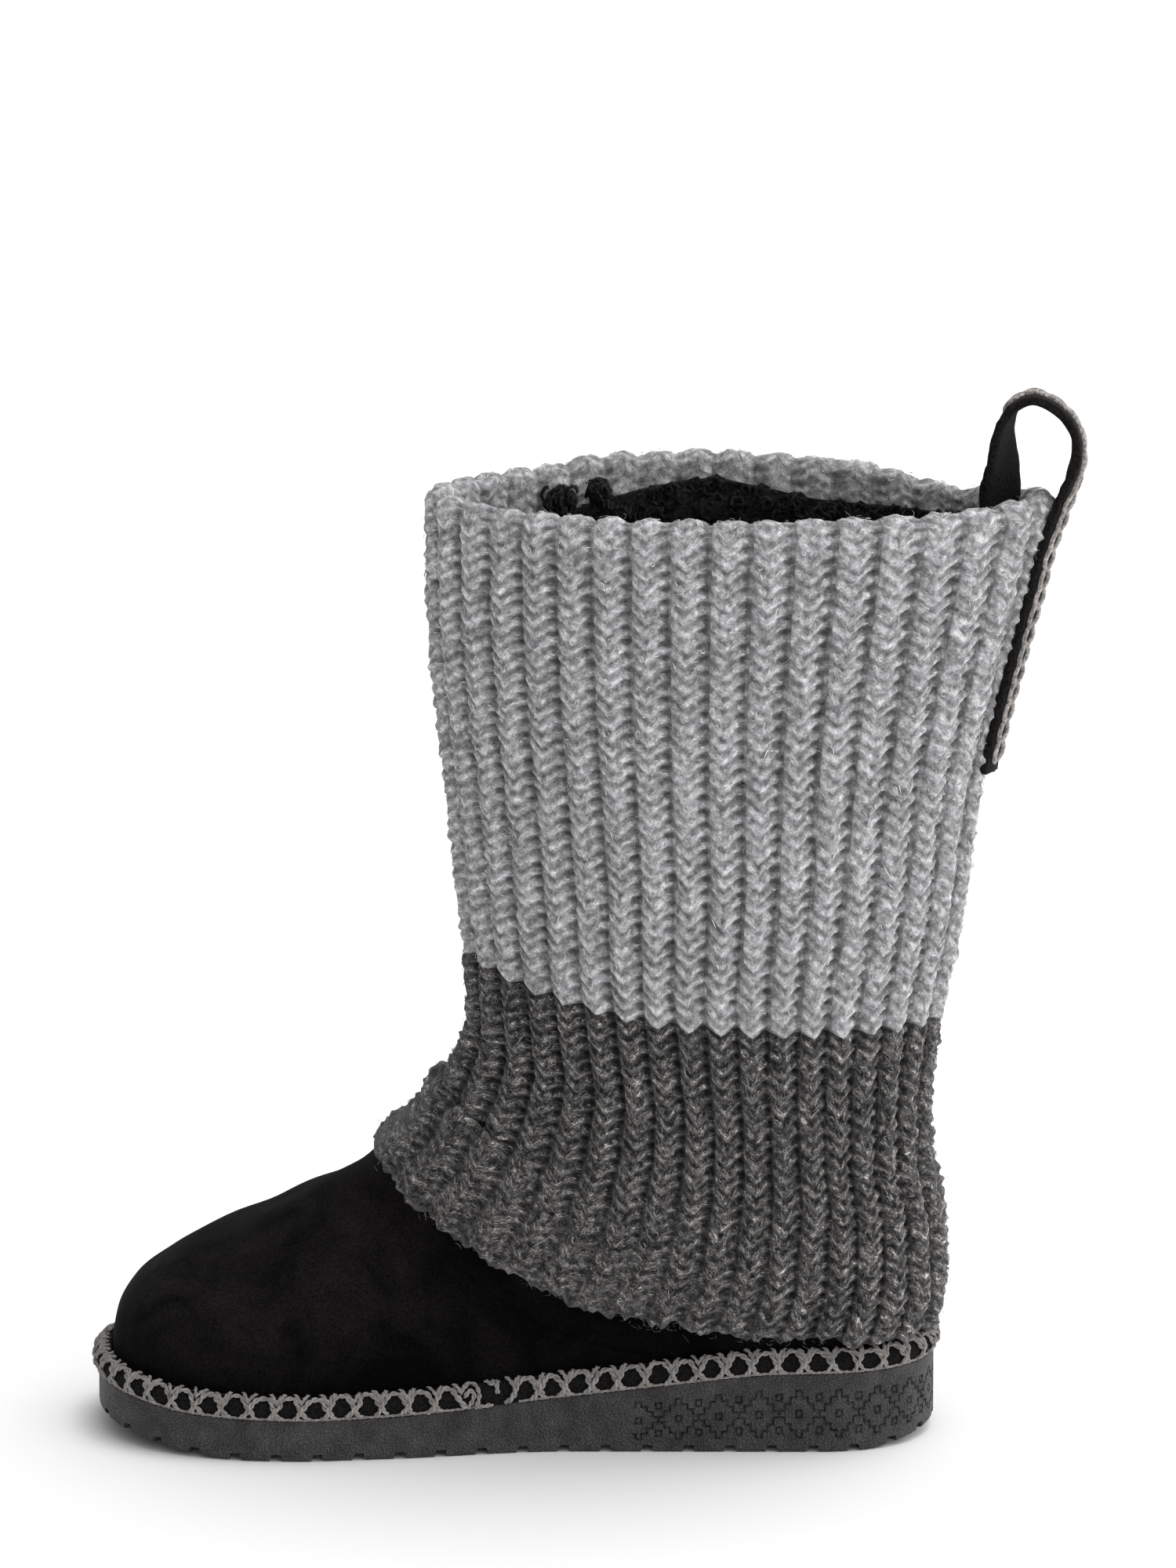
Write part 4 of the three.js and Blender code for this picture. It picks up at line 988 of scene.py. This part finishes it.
def brushed_fibres(name, first_row, last_row, wisps, hairs, half_wide, dark, pale, seed):
    """Layer of fibres over the knit between two rows: so many wisps of a width, and so many finer hairs."""
    draw = np.random.default_rng(seed)
    material = finish_material(name + "_fibre", roughness=0.85, specular=0.08, sheen=0.2)
    paint(material, ramp_between(material, attribute(material, "tone"), (0.0, dark), (1.0, pale)))
    run = np.linspace(0, 1, FIBRE_STEPS)
    bow = np.sin(math.pi * run)

    def spread(size, many):
        return draw.normal(0, size, (many, 1))

    def between(low, high, many):
        return draw.uniform(low, high, (many, 1))

    number = draw.integers(first_row + 2, last_row, (wisps, 1))
    column = draw.integers(0, RIB_COUNT, (wisps, 1)) + 0.5 + V_MIDDLE
    on_leg = draw.random((wisps, 1)) < 0.84
    side = draw.choice([-1, 1], (wisps, 1))
    leg = between(0.0, 0.24, wisps) + between(0.05, 0.15, wisps) * run
    sway = spread(0.2, wisps) + spread(0.2, wisps) * bow
    leg_row = number + V_RISE * leg + sway + spread(0.2, wisps) * run
    bar_place = -V_HALF - between(-0.08, 0.06, wisps) - between(0.08, 0.16, wisps) * run
    bar_row = number - 0.2 + spread(0.1, wisps) + spread(0.1, wisps) * bow
    rows = np.clip(np.where(on_leg, leg_row, bar_row), first_row + 0.8, KNIT_ROWS - 3)
    ribs = column + np.where(on_leg, side * leg, bar_place)
    path, normal = on_knit(rows, ribs, wool_form(rows, ribs)[0] + between(0.0, 0.3, wisps) + 0.12 * bow)
    wide = half_wide * draw.uniform(0.6, 1.3, wisps)
    parts = [yarn_tubes(path, normal, wide, wide * 0.6, FIBRE_SIDES, taper=0.25)]
    # A fifth of the hairs stand along the lower edge, half as long.
    at_edge = hairs // 5
    row = between(first_row, min(last_row, KNIT_ROWS - 3), hairs)
    row[:at_edge] = first_row + between(0.5, 1.3, at_edge)
    rib = between(0, RIB_COUNT, hairs)
    way = between(0, 2 * math.pi, hairs) + spread(1.0, hairs) * run
    length = between(0.3, 1.0, hairs)
    length[:at_edge] *= 0.5
    reach = length * (run - 0.5)
    rows = np.clip(row + np.sin(way) * reach, first_row - 0.5, KNIT_ROWS - 2)
    ribs = rib + np.cos(way) * reach * 0.4
    path, normal = on_knit(rows, ribs, wool_form(row, rib)[0] + 0.1 + between(0.3, 2.6, hairs) * run)
    parts.append(yarn_tubes(path, normal, HAIR_HALF, HAIR_HALF, FIBRE_SIDES, taper=0.5))
    points, faces, _ = join_tubes(parts)
    tone = np.repeat(draw.random(wisps + hairs), FIBRE_STEPS * FIBRE_SIDES)
    piece = mesh_piece(name, points, faces, material, tone=tone)
    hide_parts("shaft")
    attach(piece, "root")


brushed_fibres("charcoal_fibres", 0, CHARCOAL_ROWS, 5200, 2000, 0.21, 0.05, (0.36, 0.348, 0.338), seed=41)
brushed_fibres("pale_fibres", CHARCOAL_ROWS, KNIT_ROWS - 3, 7000, 2000, 0.17, 0.32, (0.98, 0.98, 0.99), seed=42)

# Pull loop
# A strip of black felted suede 20 mm wide, sewn up the back of the knit, looped over the collar and sewn down
# inside. A chain stitch of warm grey yarn runs up its outer face near the lateral edge and over the loop's middle.
TAPE_HALF = 10.0
TAPE_HALF_THICK = 1.5
TAPE_ROUNDING = 1.0
TAPE_STEPS = 120
SEWN_FROM = 16.2
OVER_RIBS = 5.0
LOOP_X = [-79.5, -81.4, -79.8, -74.0, -66.0, -59.8, -57.0, -56.6, -56.0, -55.6, -56.8]
LOOP_Z = [319.0, 328.0, 336.5, 343.4, 346.6, 343.0, 335.5, 326.0, 315.0, 303.0, 290.0]
LOOP_TURN = [0, 0, 2, 4, 7, 11, 16, 27, 38, 26, 8]
BACK_RADIUS = 22.0
SIDE_SHIFT = 4.0
sewn_at = np.linspace(SEWN_FROM, COLLAR_ROW, 6, endpoint=False)
sewn = last_surface(sewn_at, 8, OVER_RIBS + SEAT_GAP + TAPE_HALF_THICK)[:, 0]
route_x = np.concatenate([sewn[:, 0], LOOP_X])
route_z = np.concatenate([sewn[:, 2], LOOP_Z])
route_turn = np.concatenate([np.zeros(len(sewn)), LOOP_TURN])
route_run = run_along(np.stack([route_x, route_z], 1))
TAPE_LENGTH = route_run[-1]
SEWN_LENGTH = route_run[len(sewn)] - 6.0


def on_route(values, run):
    """Smooth curve through values given along the tape's route, at a length along it."""
    return curve_by(route_run, values, np.gradient(values, route_run), run)


def route_point(run):
    return np.stack([on_route(route_x, run), np.zeros(run.shape), on_route(route_z, run)], -1)


def on_tape(run, across, out):
    """Point and outward direction of the tape at a length along it, across its width, out from its middle. Where it
    is sewn down it bends round the back of the shaft."""
    run, across, out = np.broadcast_arrays(np.asarray(run, float), across, out)
    run = np.clip(run, 0, TAPE_LENGTH)
    level = np.broadcast_to(np.array([0, 1.0, 0]), (*run.shape, 3))
    ahead = unit(route_point(run + 0.5) - route_point(run - 0.5))
    twist = np.radians(on_route(route_turn, run))[..., None]
    wide = level * np.cos(twist) + np.cross(ahead, level) * np.sin(twist)
    face = np.cross(ahead, wide)
    bent = 1 - np.clip((run - SEWN_LENGTH) / 30, 0, 1)
    curve = np.maximum(bent, 1e-3) / BACK_RADIUS
    angle = (across + SIDE_SHIFT * bent) * curve
    aside, back = np.sin(angle) / curve, (1 - np.cos(angle)) / curve
    normal = wide * np.sin(angle)[..., None] + face * np.cos(angle)[..., None]
    return route_point(run) + wide * aside[..., None] - face * back[..., None] + normal * out[..., None], normal


felted = black_finish(
    "felted_tape", "Noise", (0.3, 0.003), (0.72, (0.019, 0.0173, 0.0168)), strength=0.7, distance=0.6,
    roughness=0.95, specular=0.03, sheen=0.05, Scale=900, Detail=5)
tape_section = []
for to_side, to_face in ((1, 1), (-1, 1), (-1, -1), (1, -1)):
    for quarter in (-0.5, 0.0, 0.5):
        angle = math.atan2(to_face, to_side) + quarter * math.pi / 2
        tape_section.append((
            to_side * (TAPE_HALF - TAPE_ROUNDING) + TAPE_ROUNDING * math.cos(angle),
            to_face * (TAPE_HALF_THICK - TAPE_ROUNDING) + TAPE_ROUNDING * math.sin(angle)))
    if to_side == to_face:
        tape_section += [
            (to_side * across, to_face * TAPE_HALF_THICK) for across in (6.8, 4.5, 2.2, 0, -2.2, -4.5, -6.8)]
tape_runs = np.linspace(0, TAPE_LENGTH, TAPE_STEPS)
tape_points = np.stack([on_tape(tape_runs, across, out)[0] for across, out in tape_section], 1)
tape_points = tape_points + 0.12 * soft_noise(tape_points, 5, seed=8)[..., None]
loop_tape = mesh_piece(
    "loop_tape", tape_points, capped_faces(TAPE_STEPS, len(tape_section)), felted, weld=True)
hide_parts("pull_loop")
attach(loop_tape, "root")

CHAIN_PITCH = 6.6
CHAIN_ASIDE = 4.8
CHAIN_YARN = 0.85
CHAIN_START, CHAIN_END = 5.0, TAPE_LENGTH - 52.0
LINK_STEPS = 9
LINK_SIDES = 6
links_at = np.arange(CHAIN_START, CHAIN_END, CHAIN_PITCH)[:, None]
draw = np.random.default_rng(51)
chain_yarn = yarn_material(
    "chain_yarn", (0.2, 0.184, 0.174), (0.38, 0.355, 0.338), (0.6, 0.57, 0.545), along=0.9, around=5.0)
way = np.linspace(0, 1, LINK_STEPS)
bow = np.sin(math.pi * way)
chain_parts = []
for side in (-1, 1):
    run = links_at + (way - 0.12) * CHAIN_PITCH * 1.25 + draw.normal(0, 0.2, links_at.shape)
    across = side * (0.35 + 2.5 * bow**0.8) * draw.normal(1, 0.06, links_at.shape)
    across = across + CHAIN_ASIDE * (1 - np.clip((run - SEWN_LENGTH) / 40, 0, 1))
    path, normal = on_tape(run, across, TAPE_HALF_THICK + 0.1 + 0.6 * bow)
    chain_parts.append(yarn_tubes(path, normal, CHAIN_YARN, CHAIN_YARN, LINK_SIDES, taper=0.7))
points, faces, uv = join_tubes(chain_parts)
tone = np.repeat(draw.uniform(0.5, 1.0, 2 * len(links_at)), LINK_STEPS * LINK_SIDES)
chain = mesh_piece("loop_chain_stitch", points, faces, chain_yarn, uv=uv, tone=tone)
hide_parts("pull_loop")
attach(chain, "root")

# Studio
# A white floor that runs out of view under a bright sky, which is brighter on the heel's side than on the toe's, with
# one broad soft lamp overhead.
SKY_AT_HEEL = 1.75
SKY_AT_TOE = 0.05
LAMP_STRENGTH = 0.9
LAMP_BREADTH = math.radians(35)
LAMP_TILT = (math.radians(5), math.radians(-12), 0)
floor_white = finish_material("white_floor", roughness=0.9, specular=0.0)
shader_of(floor_white).inputs["Base Color"].default_value = (0.97, 0.965, 0.965, 1)
bpy.ops.mesh.primitive_plane_add(size=30, location=(0, 0, 0))
floor = bpy.context.object
floor.name = "studio_floor"
floor.data.materials.append(floor_white)
world = bpy.data.worlds.new("white_room")
bpy.context.scene.world = world
world.use_nodes = True
sky = world.node_tree.nodes["Background"]
sky.inputs["Color"].default_value = (1, 1, 1, 1)
sideways = shader_node(world, "SeparateXYZ", Vector=shader_node(world, "TexCoord").outputs["Generated"])
brightness = shader_node(world, "MapRange", Value=sideways.outputs["X"])
for name, value in (("From Min", -1.0), ("From Max", 1.0), ("To Min", SKY_AT_HEEL), ("To Max", SKY_AT_TOE)):
    brightness.inputs[name].default_value = value
world.node_tree.links.new(brightness.outputs["Result"], sky.inputs["Strength"])
lamp_data = bpy.data.lights.new("broad_lamp", "SUN")
lamp_data.energy = LAMP_STRENGTH
lamp_data.angle = LAMP_BREADTH
lamp = bpy.data.objects.new("broad_lamp", lamp_data)
lamp.rotation_euler = LAMP_TILT
bpy.context.scene.collection.objects.link(lamp)
bpy.context.scene.view_settings.view_transform = "Standard"

# Camera
# A long lens 5 m off the boot's lateral side and 15 degrees above it, framed as the photograph is.
CAMERA_DISTANCE = 5.0
CAMERA_RISE = math.radians(15)
CAMERA_AIM = np.array([77.8, 0.0, 217.1]) * MM
FRAME_HEIGHT = 0.5115
SENSOR = 36.0
camera_data = bpy.data.cameras.new("camera")
camera_data.sensor_fit = "VERTICAL"
camera_data.sensor_height = SENSOR
camera_data.lens = SENSOR * CAMERA_DISTANCE / FRAME_HEIGHT
camera_data.clip_end = 50.0
camera = bpy.data.objects.new("camera", camera_data)
camera.location = CAMERA_AIM + CAMERA_DISTANCE * np.array([0, math.cos(CAMERA_RISE), math.sin(CAMERA_RISE)])
camera.rotation_euler = (math.pi / 2 - CAMERA_RISE, 0, math.pi)
bpy.context.scene.collection.objects.link(camera)
bpy.context.scene.camera = camera

bpy.context.view_layer.update()
